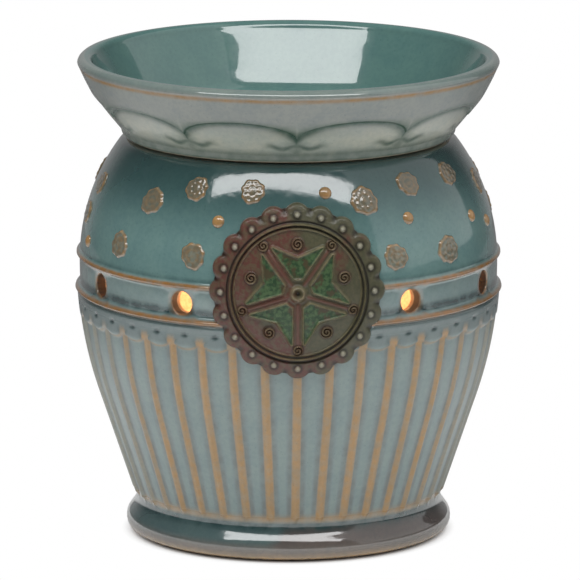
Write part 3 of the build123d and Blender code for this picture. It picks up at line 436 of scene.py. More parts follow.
def cut_windows(faces, table, row_out, row_in, points):
    """Takes the grid's faces out of both walls at each window, and adds the windows' own sides."""
    keep = np.ones(faces.shape[:2], bool)
    sides, added, cells = [], [], WINDOW_CELLS
    for window in window_places():
        middle = window_column(window, table.shape[1])
        gone = (middle + np.arange(-cells, cells)) % table.shape[1]
        for row in (row_out, row_in):
            keep[row - cells:row + cells, gone] = False
        outer = ring_block(table, row_out, middle, cells, 1)
        inner = ring_block(table, row_in, middle, cells, -1)
        rings = [outer]
        for share in WINDOW_SIDE_SHARES:
            start = len(points) + len(added) * len(outer)
            added.append(points[outer] * (1 - share) + points[inner] * share)
            rings.append(list(range(start, start + len(outer))))
        rings.append(inner)
        sides.append(bands(np.array(rings)).reshape(-1, 4))
    return faces[keep], np.vstack(sides), np.vstack(added)


def cut_notch(piece):
    """Cuts the cord notch through the urn's foot ring, at the back, with a prism."""
    turns = np.linspace(0, math.pi, NOTCH_ARC_STEPS + 1)
    outline = [(NOTCH_R * math.cos(a), NOTCH_Z + NOTCH_R * math.sin(a)) for a in turns]
    outline = [(NOTCH_R, 0.0), *outline, (-NOTCH_R, 0.0)]
    points = [(x, y, z) for y in (NOTCH_NEAR_Y, NOTCH_FAR_Y) for x, z in outline]
    ends = np.arange(len(points)).reshape(2, -1)
    mesh = bpy.data.meshes.new("notch_cutter")
    mesh.from_pydata(points, [], [*ends.tolist(), *bands(ends)[0].tolist()])
    turn_outwards(mesh)
    cutter = add_object("notch_cutter", mesh)
    cut = piece.modifiers.new("notch", "BOOLEAN")
    cut.object, cut.operation, cut.solver = cutter, "DIFFERENCE", "EXACT"
    depsgraph = bpy.context.evaluated_depsgraph_get()
    piece.data = bpy.data.meshes.new_from_object(piece.evaluated_get(depsgraph))
    piece.modifiers.clear()
    bpy.data.objects.remove(cutter)


def urn(material):
    """The stoneware urn with its ribs, lace trim, belt, windows and cord notch."""
    line, side = urn_section()
    off = np.abs(line[:, 1] - WINDOW_Z)
    row_out, row_in = (np.argmin(np.where(side == mark, off, 1)) for mark in (1, -1))
    angle = pitch_columns(line, side)
    rows, columns = angle.shape
    z = np.repeat(line[:, 1:], columns, 1)
    bend_to_windows(angle, z, row_out, 1)
    bend_to_windows(angle, z, row_in, -1)
    wall = side[:, None]
    radius = np.where(wall > 0, wall_radius(z), np.where(wall < 0, wall_radius(z, -WALL), line[:, :1]))
    lift, thin, pool = urn_relief(angle, z, radius)
    lift = np.where(wall > 0, lift, 0)
    tilt = wall_tilt(z)
    points = about_axis(angle, radius + lift * np.cos(tilt), z + lift * np.sin(tilt)).reshape(-1, 3)
    outer_skin = (wall >= 0) & (np.arange(rows)[:, None] < np.argmin(side))
    # The foot's ochre edge is partly glaze run thin, partly painted reflection of the floor
    thin = np.where(wall > 0, thin, stripe(line[:, 1:], *FOOT_THIN_AND_REFLECTION) * outer_skin)
    # Painted shade in the hollow of the neck over the foot
    pool = np.where(wall > 0, pool, stripe(z, *NECK_PAINTED_SHADE) * outer_skin)
    bare = 1.0 - outer_skin + 0 * angle

    table = np.arange(rows * columns).reshape(rows, columns)
    round_section = bands(np.vstack([table, table[:1]]))
    faces, window_sides, added = cut_windows(round_section, table, row_out, row_in, points)
    glazed = np.tile(np.repeat(WINDOW_SIDE_GLAZED, 8 * WINDOW_CELLS), WINDOWS - 1)
    tones = {
        "thin": np.append(thin, 0 * glazed),
        "pool": np.append(pool, 0 * glazed),
        # The windows' glazed sides take a near-black brown: partly darker glaze, partly painted shade
        "hole": np.append(0 * thin, glazed),
        "bare": np.append(bare, 1 - glazed),
    }
    piece = build("urn", np.vstack([points, added]), [faces, window_sides], tones, material)
    cut_notch(piece)
    return piece


def sprig(angle, z, forms, rows, columns):
    """Points, faces and thinness of one low relief on the shoulder, closed behind."""
    edge, heights, thins = forms
    turns = TURN / columns * np.arange(columns)[None]
    shares = np.linspace(0, 1, rows + 1)[:, None]
    behind = np.zeros((2, columns))
    rise = np.vstack([heights(shares, turns), behind - SPRIG_ROOT])
    reach = edge(turns) * np.vstack([shares, [[1.0], [0.0]]])
    here = np.array(z)
    tilt = wall_tilt(here) + reach * np.cos(turns) / UPPER_ARC_R
    radius = WIDEST_R - UPPER_ARC_R + (UPPER_ARC_R + rise) * np.cos(tilt)
    height = WIDEST_Z + (UPPER_ARC_R + rise) * np.sin(tilt)
    points = about_axis(math.radians(angle) + reach * np.sin(turns) / wall_radius(here), radius, height)
    thin = np.vstack([thins(shares, turns), behind])
    return points.reshape(-1, 3), capped(rows + 3, columns), thin.ravel()


def flower_forms(scale, phase):
    """How far out a flower reaches at a turn round it, and how high it stands and how thin its glaze is at
    a share of the way out."""
    def edge(turn):
        uneven = FLOWER_LOBE * (np.cos(2 * turn + 3 * phase) + np.cos(3 * turn - phase))
        return scale * (FLOWER_R + FLOWER_LOBE * np.cos(PETALS * turn + phase) + uneven)

    def heights(share, turn):
        petal = 0.5 + 0.5 * np.cos(PETALS * turn + phase)
        body = 1 - step(0.82, 1.0, share)
        pits = 0.2 * stripe(share, 0.6, 0.14) * petal + 0.16 * stripe(share, 0.34, 0.10)
        crease = 0.2 * (1 - petal) * step(0.55, 0.8, share)
        return FLOWER_HEIGHT * (body * (0.9 - pits - crease) - 0.06 * step(0.95, 1.0, share))

    def thins(share, turn):
        petal = 0.5 + 0.5 * np.cos(PETALS * turn + phase)
        rim = 0.75 * stripe(share, 0.86, 0.09) * (0.6 + 0.4 * petal)
        inner = 0.12 + 0.2 * stripe(share, 0.46, 0.08) + 0.2 * stripe(share, 0, 0.16)
        return np.clip(np.maximum(rim, inner), 0, 1) * (1 - step(0.93, 1.0, share))

    return edge, heights, thins


def dot_forms():
    """The same for a dot."""
    def edge(turn):
        return DOT_R + 0 * turn

    def heights(share, turn):
        return DOT_HEIGHT * (np.sqrt(1 - 0.98 * share**2) - 0.19) / 0.81 + 0 * turn

    def thins(share, turn):
        return 0.95 - 0.25 * step(0.8, 1.0, share) + 0 * turn

    return edge, heights, thins


def sprigs(material):
    """The flowers and dots over the belt, with much the same scatter again behind."""
    flowers = [(angle + 180, z, scale) for angle, z, scale in FLOWER_PLACES + BACK_FLOWER_PLACES]
    made = [
        sprig(angle, z, flower_forms(scale, FLOWER_PHASE * i), *FLOWER_GRID)
        for i, (angle, z, scale) in enumerate(FLOWER_PLACES + flowers)
    ]
    dots = DOT_PLACES + [(angle + 180, z) for angle, z in DOT_PLACES]
    made += [sprig(angle, z, dot_forms(), *DOT_GRID) for angle, z in dots]
    points, tables, thins = zip(*made)
    faces, start = [], 0
    for some_points, some_tables in zip(points, tables):
        faces += [table + start for table in some_tables]
        start += len(some_points)
    tones = {"thin": np.concatenate(thins), "petal": np.ones(start)}
    return build("flowers_and_dots", np.vstack(points), faces, tones, material)


def from_outline(x, y, corners):
    """Distance of points from a closed outline, negative inside."""
    nearest, inside = np.full(x.shape, 1e9), np.ones(x.shape)
    for (ax, ay), (bx, by) in zip(corners, corners[1:] + corners[:1]):
        ex, ey = bx - ax, by - ay
        share = np.clip(((x - ax) * ex + (y - ay) * ey) / (ex * ex + ey * ey), 0, 1)
        nearest = np.minimum(nearest, np.hypot(x - ax - ex * share, y - ay - ey * share))
        crosses = ((ay > y) != (by > y)) & (x < ex * (y - ay) / np.where(ey == 0, 1, ey) + ax)
        inside = np.where(crosses, -inside, inside)
    return nearest * inside


def leaf_corners():
    """One two-pointed leaf of the plaque, pointing up, drawn in by the rounding of its corners."""
    half = math.pi / SPOKES
    out, side = Vector((math.sin(half), math.cos(half))), Vector((-math.cos(half), math.sin(half)))
    shift = side * (LEAF_GAP + LEAF_ROUND)
    tip, shoulder = out * (LEAF_TIP_R - LEAF_ROUND) + shift, out * (LEAF_SHOULDER_R + LEAF_ROUND) + shift
    notch = LEAF_NOTCH_R - LEAF_ROUND
    return [tuple(shoulder), tuple(tip), (0.0, notch), (-tip.x, tip.y), (-shoulder.x, shoulder.y)]


def plaque_relief(reach, turn):
    """Height over the urn's wall and the tones of the plaque at each reach and turn from its middle."""
    fold = TURN / SPOKES
    near = (turn + fold / 2) % fold - fold / 2, turn % fold - fold / 2
    (leaf_x, leaf_y), (spoke_x, spoke_y) = [(reach * np.sin(off), reach * np.cos(off)) for off in near]
    off_leaf = from_outline(leaf_x, leaf_y, leaf_corners()) - LEAF_ROUND
    leaf = 1 - step(*LEAF_SLOPE, off_leaf)
    leaf_edge = stripe(off_leaf, *LEAF_EDGE)
    spoke = crest(spoke_x, SPOKE_HALF) * step(*SPOKE_STARTS_R, spoke_y) * (1 - step(*SPOKE_STOPS_R, spoke_y))
    curl, curl_area = np.zeros((2, *reach.shape))
    for on_spoke, ring_r, size in CURLS:
        x, y = (spoke_x, spoke_y) if on_spoke else (leaf_x, leaf_y)
        off, way = np.hypot(x, y - ring_r), np.arctan2(x, y - ring_r)
        winding = 0.5 + 0.5 * np.cos(TURN * (off / CURL_PITCH - way / TURN))
        curl = np.maximum(curl, winding * (1 - step(0.8 * size, size, off)))
        curl_area = np.maximum(curl_area, 1 - step(0.9 * size, 1.25 * size, off))
    boss = stripe(reach, *BOSS)
    pit = 1 - step(0.3 * PIT_R, PIT_R, reach)
    beads = [crest(reach - ring_r, half) for ring_r, half, _ in BEADS]
    bead_rise = np.maximum.reduce([rise * bead for bead, (_, _, rise) in zip(beads, BEADS)])
    border = step(*BORDER_STARTS_R, reach)
    stud_turn = (turn * SCALLOPS / TURN + 0.5) % 1 - 0.5
    off_stud = np.hypot(reach - STUD_RING_R, stud_turn * TURN / SCALLOPS * reach)
    stud = np.sqrt(np.clip(1 - (off_stud / STUD_R) ** 2, 0, 1))
    moat = stripe(off_stud, 1.45 * STUD_R, 0.5 * STUD_R)
    crease = stripe(np.abs(stud_turn), 0.5, CREASE_SHARE) * step(*CREASE_STARTS_R, reach)
    carved = LEAF_RISE * leaf + LEAF_EDGE_RISE * leaf_edge + SPOKE_RISE * spoke + CURL_RISE * curl
    height = FIELD_HEIGHT + (BORDER_HEIGHT - FIELD_HEIGHT) * border + bead_rise
    height = height + carved * (1 - boss) * (1 - border) + BOSS_RISE * boss - PIT_DEPTH * pit
    height = height + STUD_RISE * stud - CREASE_DEPTH * crease
    grooves = [stripe(reach, *groove) for groove in GROOVES]
    # Dark hollows: partly dark glaze in them, partly painted shade, the ring round each stud included
    low_parts = [*grooves, pit, 0.9 * crease, 0.7 * moat, 0.65 * curl_area * (1 - curl)]
    return height, {
        "leaf": leaf,
        "maroon": np.maximum(spoke, 0.6 * curl_area),
        # Pale raised edges: partly wear, partly painted highlight
        "wear_and_highlight": np.clip(np.maximum.reduce([leaf_edge, *beads, 0.9 * stud, 0.9 * curl, boss]), 0, 1),
        "deep": np.clip(np.maximum.reduce(low_parts), 0, 1),
        # Painted highlight: the studs' tops are painted pale
        "stud": stud,
    }


def plaque_edge(turn):
    """How far out the plaque reaches, scallops included."""
    off = np.abs((turn * SCALLOPS / TURN + 0.5) % 1 - 0.5) * TURN / SCALLOPS
    room = np.maximum(SCALLOP_R**2 - (SCALLOP_RING_R * np.sin(off)) ** 2, 0)
    return np.maximum(PLAQUE_R, np.where(room > 0, SCALLOP_RING_R * np.cos(off) + np.sqrt(room), 0))


def plaque(material):
    """The scalloped plaque on the belly, with studs, bead rings, leaves, spokes and curls."""
    turns = TURN / PLAQUE_COLUMNS * np.arange(PLAQUE_COLUMNS)[None]
    edge = plaque_edge(turns)
    middle = 0 * edge
    inner = np.arange(PLAQUE_STEP, PLAQUE_EVEN_R, PLAQUE_STEP)[:, None] + middle
    border = np.linspace(inner[-1], edge[0] - PLAQUE_EDGE_R, PLAQUE_BORDER_RINGS + 1)[1:]
    round_off = np.linspace(0, math.pi / 2, 6)[1:, None]
    rounded = edge - PLAQUE_EDGE_R * (1 - np.sin(round_off))
    reach = np.vstack([inner, border, rounded])
    height, tones = plaque_relief(reach, turns)
    height[-len(round_off):] -= PLAQUE_EDGE_R * (1 - np.cos(round_off))
    back = np.vstack([np.linspace(1, 0.1, 7)[:, None] * edge, middle])
    reach = np.vstack([middle, reach, back])
    height = np.vstack([middle + height[0].mean(), height, 0 * back - PLAQUE_ROOT])
    x, z = reach * np.sin(turns), PLAQUE_Z + reach * np.cos(turns)
    points = np.stack([x, -np.sqrt(wall_radius(z, height) ** 2 - x**2), z], -1)
    tones = {name: np.vstack([middle, tone, 0 * back]) for name, tone in tones.items()}
    return build("plaque", points, capped(len(reach), PLAQUE_COLUMNS), tones, material)


def arch_edge(angle):
    """Height of the dish's row of arches at an angle, and the share of the way from an arch to a cusp."""
    pitch = TURN / ARCHES
    off = angle % pitch - pitch / 2
    arc = np.sqrt(np.clip(1 - (off * ARCH_R / ARCH_HALF_WIDTH) ** 2, 0, 1))
    return ARCH_FOOT_Z + ARCH_RISE * arc, np.abs(off) / (pitch / 2)


def arch_curls(angle, z):
    """How deep the glaze lies under each cusp and in the wing on each side of it."""
    pitch = TURN / ARCHES
    off = np.abs((angle + pitch / 2) % pitch - pitch / 2) * DISH_LINE[1][0]
    rise = CURL_LINE_RISE * np.cos(TURN * off / CURL_LINE_PITCH)
    wing = stripe(z, CURL_LINE_Z + rise, CURL_LINE_HALF, CURL_LINE_POOL) * (1 - step(*CURL_LINE_FADES, off))
    return np.maximum(wing, stripe(off, 0, CUSP_HALF, CUSP_POOL) * (1 - step(*CUSP_FADES_Z, z)))


def dish(material):
    """The loose dish, its outside with ten shallow arches in which the glaze has pooled."""
    angle = TURN / DISH_COLUMNS * np.arange(DISH_COLUMNS)[None]
    edge, cusp = arch_edge(angle)
    low, high = DISH_LINE[0][1], DISH_LINE[-1][1]
    offsets = np.array(ARCH_EDGE_OFFSETS)[:, None]
    z = edge + offsets
    under_arches = np.linspace(low, z[0], RINGS_UNDER_ARCHES, endpoint=False)
    z = np.vstack([under_arches, z, np.linspace(z[-1], high, RINGS_OVER_ARCHES + 2)[1:-1]])
    side = smooth_line(DISH_LINE, DISH_LINE_GAP)
    way = np.gradient(side, axis=0)
    way /= np.linalg.norm(way, axis=1)[:, None]
    radius, out, up = (np.interp(z, side[:, 1], values) for values in (side[:, 0], way[:, 0], way[:, 1]))
    sunk = ARCH_DEPTH * (1 - step(*ARCH_SLOPE, z - edge)) * step(*ARCH_STARTS_Z, z)
    pool = np.maximum.reduce([
        stripe(z, edge - ARCH_LINE_DROP, ARCH_LINE_HALF + ARCH_CUSP_EXTRA * cusp**4),
        LOW_POOL * (1 - step(*LOW_POOL_FADES_Z, z)),
        arch_curls(angle, z),
    ])

    under = np.vstack([[0.0, DISH_UNDER_LINE[0][1]], DISH_UNDER_LINE])
    lip, bowl = smooth_line(LIP_LINE, LIP_GAP), smooth_line(BOWL_LINE, BOWL_GAP)[1:]
    upper = np.vstack([lip, bowl, [0.0, BOWL_LINE[-1][1]]])
    points = np.vstack([
        about_axis(angle, under[:, :1], under[:, 1:]),
        about_axis(angle, radius - sunk * up, z + sunk * out),
        about_axis(angle, upper[:, :1], upper[:, 1:]),
    ])
    in_bowl = np.arange(len(upper))[:, None] > LIP_OUTER_RINGS
    lip_thin = stripe(upper[:, 1:], *LIP_THIN) * (upper[:, :1] > LIP_THIN_FROM_R)
    tones = {
        "thin": (0, stripe(z, *LIP_THIN), lip_thin),
        "pool": (0, pool, 0),
        "bowl": (0, 0, in_bowl),
        "bare": (1, 0, 0),
    }
    blanks = [np.zeros((len(rows), DISH_COLUMNS)) for rows in (under, z, upper)]
    for name, parts in tones.items():
        tones[name] = np.vstack([part + blank for part, blank in zip(parts, blanks)])
    return build("dish", points, capped(len(points), DISH_COLUMNS), tones, material)


def srgb(red, green, blue):
    """A shader colour from the numbers of a colour picker, 0 to 255."""
    parts = [part / 255 for part in (red, green, blue)]
    return (*[x / 12.92 if x <= 0.04045 else ((x + 0.055) / 1.055) ** 2.4 for x in parts], 1.0)


class Nodes:
    """A node tree, with short calls that add its nodes."""

    def __init__(self, tree):
        self.tree = tree

    def feed(self, socket, value):
        """Links or sets one input."""
        if isinstance(value, bpy.types.NodeSocket):
            self.tree.links.new(value, socket)
        else:
            socket.default_value = value

    def add(self, kind, inputs=(), **settings):
        """One node with its settings, and with inputs fed by name or number."""
        node = self.tree.nodes.new("ShaderNode" + kind)
        for setting, value in settings.items():
            setattr(node, setting, value)
        for key, value in dict(inputs).items():
            self.feed(node.inputs[key], value)
        return node

    def math(self, operation, *values):
        """One math node."""
        return self.add("Math", enumerate(values), operation=operation).outputs[0]

    def between(self, value, low, high, to_low=0.0, to_high=1.0):
        """Smoothly from to_low where value is low to to_high where it is high."""
        numbers = enumerate((value, low, high, to_low, to_high))
        return self.add("MapRange", numbers, interpolation_type="SMOOTHSTEP").outputs[0]

    def choose(self, share, first, second):
        """The first shader where share is 0, the second where it is 1."""
        return self.add("MixShader", enumerate((share, first, second))).outputs[0]


class Look(Nodes):
    """A material."""

    def __init__(self, name, **sockets):
        self.material = bpy.data.materials.new(name)
        self.material.use_nodes = True
        super().__init__(self.material.node_tree)
        self.shader = self.tree.nodes["Principled BSDF"]
        self.place = self.add("TexCoord").outputs["Object"]
        for socket, value in sockets.items():
            self.set(socket.replace("_", " "), value)

    def set(self, socket, value):
        """Links or sets one input of the shader."""
        self.feed(self.shader.inputs[socket], value)

    def tone(self, name, strength=1.0):
        """One of the mesh's own tones."""
        return self.math("MULTIPLY", self.add("Attribute", attribute_name=name).outputs["Fac"], strength)

    def along(self, axis):
        """Distance to the right, along X, or up, along Z."""
        return self.add("SeparateXYZ", {0: self.place}).outputs[axis]

    def noise(self, size, detail=2.0, stretch=(1, 1, 1)):
        """Cloudy noise with features of this size."""
        moved = self.add("Mapping", {"Scale": stretch, "Vector": self.place}).outputs[0]
        return self.add("TexNoise", {"Scale": 1 / size, "Detail": detail, "Vector": moved}).outputs["Fac"]

    def clouds(self, size, low, high, to_low=0.0, to_high=1.0, detail=3.0):
        """Noise with more contrast, from to_low to to_high."""
        return self.between(self.noise(size, detail), low, high, to_low, to_high)

    def specks(self, apart, low, high, strength):
        """Scattered specks about this far apart."""
        node = self.add("TexVoronoi", {"Scale": 1 / apart, "Vector": self.place})
        return self.between(node.outputs["Distance"], low, high, strength, 0.0)

    def mix(self, share, first, second, blend="MIX"):
        """first where share is 0, second, or first times second, where it is 1."""
        node = self.add("Mix", {"Factor": share}, data_type="RGBA", blend_type=blend)
        for socket, value in zip([s for s in node.inputs if s.type == "RGBA"], (first, second)):
            self.feed(socket, value)
        return [s for s in node.outputs if s.type == "RGBA"][0]

    def coats(self, colour, *coats):
        """Lays coats over a colour, each a share and a colour."""
        for share, coat in coats:
            colour = self.mix(share, colour, coat)
        return colour

    def bump(self, height, distance, strength):
        """Raises the surface's shading by a height from 0 to 1, at most distance metres."""
        inputs = {"Strength": strength, "Distance": distance, "Height": height}
        self.set("Normal", self.add("Bump", inputs).outputs[0])

    def paint(self, colour, roughness=None):
        """Sets the colour and, if given, the roughness."""
        self.set("Base Color", colour)
        if roughness is not None:
            self.set("Roughness", roughness)
        return self.material


def glaze_noise(look, colour):
    """Mottling, specks and small lighter clouds, as a reactive glaze has."""
    lighter = look.clouds(0.009, 0.35, 0.65, detail=4.0)
    colour = look.mix(lighter, colour, (1.12, 1.08, 1.05, 1), "MULTIPLY")
    colour = look.mix(look.clouds(0.0014, 0.4, 0.62), colour, (0.92, 0.94, 0.95, 1), "MULTIPLY")
    return look.mix(look.specks(0.0016, 0.08, 0.2, 0.55), colour, (0.72, 0.76, 0.76, 1), "MULTIPLY")


def urn_glaze():
    """Blue-green reactive glaze: ochre where it runs thin over edges, dark teal where it pools, with painted
    shade and painted floor reflection in places.
    """
    look = Look("urn_glaze", IOR=1.75, Coat_IOR=1.6, Coat_Roughness=0.03)
    z, petal, bare, hole = look.along("Z"), look.tone("petal"), look.tone("bare"), look.tone("hole")
    browner = look.math("MULTIPLY_ADD", look.along("X"), FOOT_BROWNER, look.noise(0.016))
    foot = look.mix(look.between(browner, 0.42, 0.6), srgb(84, 106, 107), srgb(96, 88, 85))
    over_foot = look.between(z, *RIBS_START_Z)
    on_ribs = look.math("SUBTRACT", over_foot, look.between(z, *RIBS_STOP_Z))
    ochre = look.coats(
        # Pale ochre at the foot's bottom edge: painted reflection of the floor
        srgb(196, 164, 120),
        (look.between(z, *OCHRE_PAINTED_REFLECTION_Z), srgb(170, 132, 74)),
        (look.between(z, *OCHRE_BROWN_Z), srgb(148, 106, 60)),
        (petal, srgb(180, 138, 86)),
    )
    colour = look.coats(
        # The foot's lowest band, painted pale grey: painted reflection of the floor
        srgb(120, 114, 108),
        (look.between(z, *FOOT_PAINTED_REFLECTION_Z), foot),
        # The last of these shades, at the top under the dish, is painted shade
        *[(look.between(z, *heights), srgb(*shade)) for heights, shade in URN_SHADES],
        (look.tone("petal", look.clouds(0.0016, 0.36, 0.62, 0.5, 1.0)), srgb(112, 108, 92)),
        # Dark teal where glaze pools; purple-grey beside the ribs, partly painted shade; painted shade in
        # the neck's hollow
        (
            look.tone("pool", look.clouds(0.004, 0.3, 0.7, 0.55, 1.1)),
            look.mix(on_ribs, srgb(42, 70, 72), srgb(82, 76, 76)),
        ),
        (look.tone("thin", look.clouds(0.003, 0.3, 0.7, 1.1, 0.75)), ochre),
    )
    bisque = look.mix(look.clouds(0.001, 0.4, 0.6), srgb(186, 168, 142), srgb(168, 148, 122))
    # The windows' glazed sides are near-black brown: partly their darker glaze, partly painted shade against
    # the lamp's glow
    colour = look.coats(glaze_noise(look, colour), (hole, srgb(34, 25, 18)), (bare, bisque))
    look.bump(look.noise(0.006), 0.00025, 0.5)
    satin = look.math("SUBTRACT", over_foot, look.between(z, *SATIN_STOPS_Z))
    dull = look.math("MAXIMUM", look.math("MAXIMUM", bare, hole), look.math("MULTIPLY", satin, 0.4))
    look.set("Coat Weight", look.between(dull, 0.0, 1.0, 1.0, 0.0))
    return look.paint(colour, look.between(dull, 0.0, 1.0, 0.12, 0.75))


def dish_glaze():
    """The dish's paler grey-green outside, painted paler still low down where it gets less light, and its
    teal bowl.
    """
    look = Look("dish_glaze", Roughness=0.16, IOR=1.5, Coat_IOR=1.8, Coat_Roughness=0.03)
    z, bowl = look.along("Z"), look.tone("bowl")
    glossy = look.math("MAXIMUM", bowl, look.between(z, *LIP_GLOSSY_Z))
    look.set("Coat Weight", look.between(glossy, 0.0, 1.0, 0.12, 1.0))
    colour = look.coats(
        # Painted light: the lower outside is painted paler where less light reaches it
        srgb(192, 198, 186),
        (look.between(z, *DISH_PAINTED_LIGHT_Z), srgb(154, 161, 158)),
        (look.between(z, *LIP_DARK_Z), srgb(116, 130, 126)),
        (bowl, srgb(82, 116, 112)),
        (look.tone("pool", look.clouds(0.004, 0.3, 0.7, 0.85, 1.05)), srgb(72, 98, 86)),
        (look.tone("thin", look.clouds(0.004, 0.3, 0.7, 1.0, 0.6)), srgb(168, 122, 42)),
    )
    look.bump(look.noise(0.007), 0.00025, 0.45)
    return look.paint(look.mix(look.tone("bare"), glaze_noise(look, colour), srgb(176, 158, 132)))


def plaque_glaze():
    """Bronze-brown plaque with green leaves, maroon spokes, pale edges part worn and part painted highlight,
    painted highlights on the studs and dark hollows part painted shade.
    """
    look = Look("plaque_glaze", Roughness=0.32, IOR=1.5, Coat_Weight=0.25, Coat_Roughness=0.15)
    redder = look.math("MULTIPLY_ADD", look.along("X"), PLAQUE_REDDER, look.noise(0.011, 3.0))
    grain = look.clouds(0.0012, 0.38, 0.64, detail=4.0)
    green = look.mix(grain, srgb(46, 72, 48), srgb(80, 106, 70))
    colour = look.coats(
        srgb(80, 80, 60),
        (look.between(redder, 0.42, 0.6), srgb(100, 62, 54)),
        (look.math("MULTIPLY", grain, 0.6), srgb(96, 92, 70)),
        (look.tone("maroon", 0.85), srgb(106, 68, 56)),
        (look.tone("leaf"), look.mix(look.clouds(0.0032, 0.5, 0.62), green, srgb(78, 70, 50))),
        # Dark hollows, partly painted shade
        (look.tone("deep", 0.95), srgb(26, 21, 17)),
        # Pale raised edges, partly wear and partly painted highlight
        (look.tone("wear_and_highlight", look.clouds(0.002, 0.3, 0.7, 0.3, 0.85)), srgb(130, 120, 92)),
        # Painted highlight on the studs' tops
        (look.tone("stud", 0.7), srgb(168, 166, 150)),
    )
    look.bump(look.noise(0.0009, 4.0), 0.00025, 0.6)
    return look.paint(colour)


def brushed_metal(name, colour, roughness=0.32, stretch=(1, 1, 6)):
    """Metal with fine drawn lines and slight stains."""
    look = Look(name, Metallic=1.0)
    lines = look.noise(0.0006, 4.0, stretch)
    stains = look.math("MULTIPLY", look.clouds(0.006, 0.35, 0.7), 0.35)
    look.bump(lines, 0.00004, 0.5)
    tint = look.mix(stains, colour, (0.7, 0.68, 0.64, 1), "MULTIPLY")
    return look.paint(tint, look.between(lines, 0.3, 0.7, roughness - 0.08, roughness + 0.12))


def dull_stuff(name, colour, other, grain, roughness):
    """Rubber, fibre, paint or dark glass with a fine grain of a second shade."""
    look = Look(name)
    flecks = look.noise(grain, 5.0)
    look.bump(flecks, grain / 8, 0.5)
    tint = look.mix(look.between(flecks, 0.35, 0.65), colour, other)
    return look.paint(tint, look.between(flecks, 0.3, 0.7, roughness - 0.08, roughness + 0.08))


def porcelain():
    """White glazed porcelain with a few fine specks."""
    look = Look("white_porcelain", Roughness=0.16, Coat_Weight=0.4, Coat_Roughness=0.05)
    look.bump(look.noise(0.004), 0.0001, 0.4)
    specks = look.specks(0.0022, 0.05, 0.12, 0.5)
    return look.paint(look.mix(specks, srgb(226, 222, 210), srgb(150, 140, 124)))


def lamp_glass():
    """The lit lamp's warm frosted glass."""
    look = Look("lamp_glass", Roughness=0.25, IOR=1.5, Emission_Strength=22.0)
    uneven = look.clouds(0.02, 0.3, 0.7, detail=2.0)
    look.set("Emission Color", look.mix(uneven, srgb(255, 198, 150), srgb(255, 190, 140)))
    return look.paint(srgb(240, 222, 196))


def clear_glass():
    """Clear glass of the lamp's stem, with faint streaks."""
    look = Look("clear_glass", Roughness=0.05, IOR=1.5, Transmission_Weight=0.9)
    streaks = look.noise(0.003, stretch=(1, 1, 0.2))
    look.bump(streaks, 0.0001, 0.3)
    return look.paint(look.mix(streaks, srgb(226, 236, 232), srgb(240, 244, 240)))


def finish_nodes(nodes):
    """Gives every solid that still shows its material."""
    zinc = ["threaded_pipe", "upper_nut", "lower_nut", "clamp_washer", "base_strap", "cover_screws"]
    brass = ["socket_sleeve", "centre_contact", "terminal_blocks", "terminal_screws"]
    rubber = ["cord_grommet", *[f"rubber_foot_{i}" for i in range(1, 5)]]
    fibre = dull_stuff("fibre", srgb(92, 78, 66), srgb(70, 60, 52), 0.0006, 0.85)
    looks = [
        (brushed_metal("zinc_steel", srgb(178, 180, 182)), [*zinc, "holder_cap", "holder_screws"]),
        (brushed_metal("plain_brass", srgb(206, 166, 92)), brass),
        (brushed_metal("nickelled_brass", srgb(196, 190, 176), 0.26), ["bulb_cap"]),
        (brushed_metal("lead_wire", srgb(150, 148, 144)), ["bulb_leads", "bulb_filament"]),
        (brushed_metal("solder", srgb(172, 174, 176), 0.42, (1, 1, 1)), ["bulb_tip"]),
        (dull_stuff("black_rubber", srgb(26, 26, 27), srgb(40, 39, 38), 0.0008, 0.6), rubber),
        (dull_stuff("cover_paint", srgb(34, 34, 35), srgb(44, 44, 45), 0.0005, 0.42), ["base_cover"]),
        (dull_stuff("black_glass", srgb(18, 17, 20), srgb(26, 24, 26), 0.002, 0.16), ["bulb_insulator"]),
        (fibre, ["upper_cushion", "lower_cushion"]),
        (porcelain(), ["lampholder"]),
        (lamp_glass(), ["bulb_glass"]),
        (clear_glass(), ["bulb_stem"]),
    ]
    for material, names in looks:
        for name in names:
            mesh = nodes[name].data
            mesh.materials.clear()
            mesh.materials.append(material)


def place_camera():
    """The photograph's camera: far off, a little above and to the left of the plaque's middle line."""
    side = Vector((math.cos(CAMERA_LEFT), -math.sin(CAMERA_LEFT), 0))
    aim = Vector((0, 0, AIM_Z)) + side * AIM_RIGHT
    back = Vector((-math.sin(CAMERA_LEFT), -math.cos(CAMERA_LEFT), math.tan(CAMERA_RISE)))
    camera = add_object("camera", bpy.data.cameras.new("camera"))
    camera.data.sensor_width, camera.data.lens, camera.data.clip_end = SENSOR, LENS, SEES_TO
    camera.location = aim + back * CAMERA_AWAY
    camera.rotation_mode = "QUATERNION"
    camera.rotation_quaternion = (-back).to_track_quat("-Z", "Y")
    bpy.context.scene.camera = camera


def soft_box(name, middle, facing, across, rise, radiance, roll=0.0):
    """A rectangular light of an even brightness, with these edges, that the camera doesn't see."""
    data = bpy.data.lights.new(name, "AREA")
    data.shape, data.size, data.size_y = "RECTANGLE", across[1] - across[0], rise[1] - rise[0]
    data.energy = radiance * math.pi * data.size * data.size_y
    box = add_object(name, data)
    box.location = middle
    box.rotation_mode = "QUATERNION"
    box.rotation_quaternion = Vector(facing).to_track_quat("-Z", "Y") @ Quaternion((0, 0, 1), roll)
    box.visible_camera = False
    return box


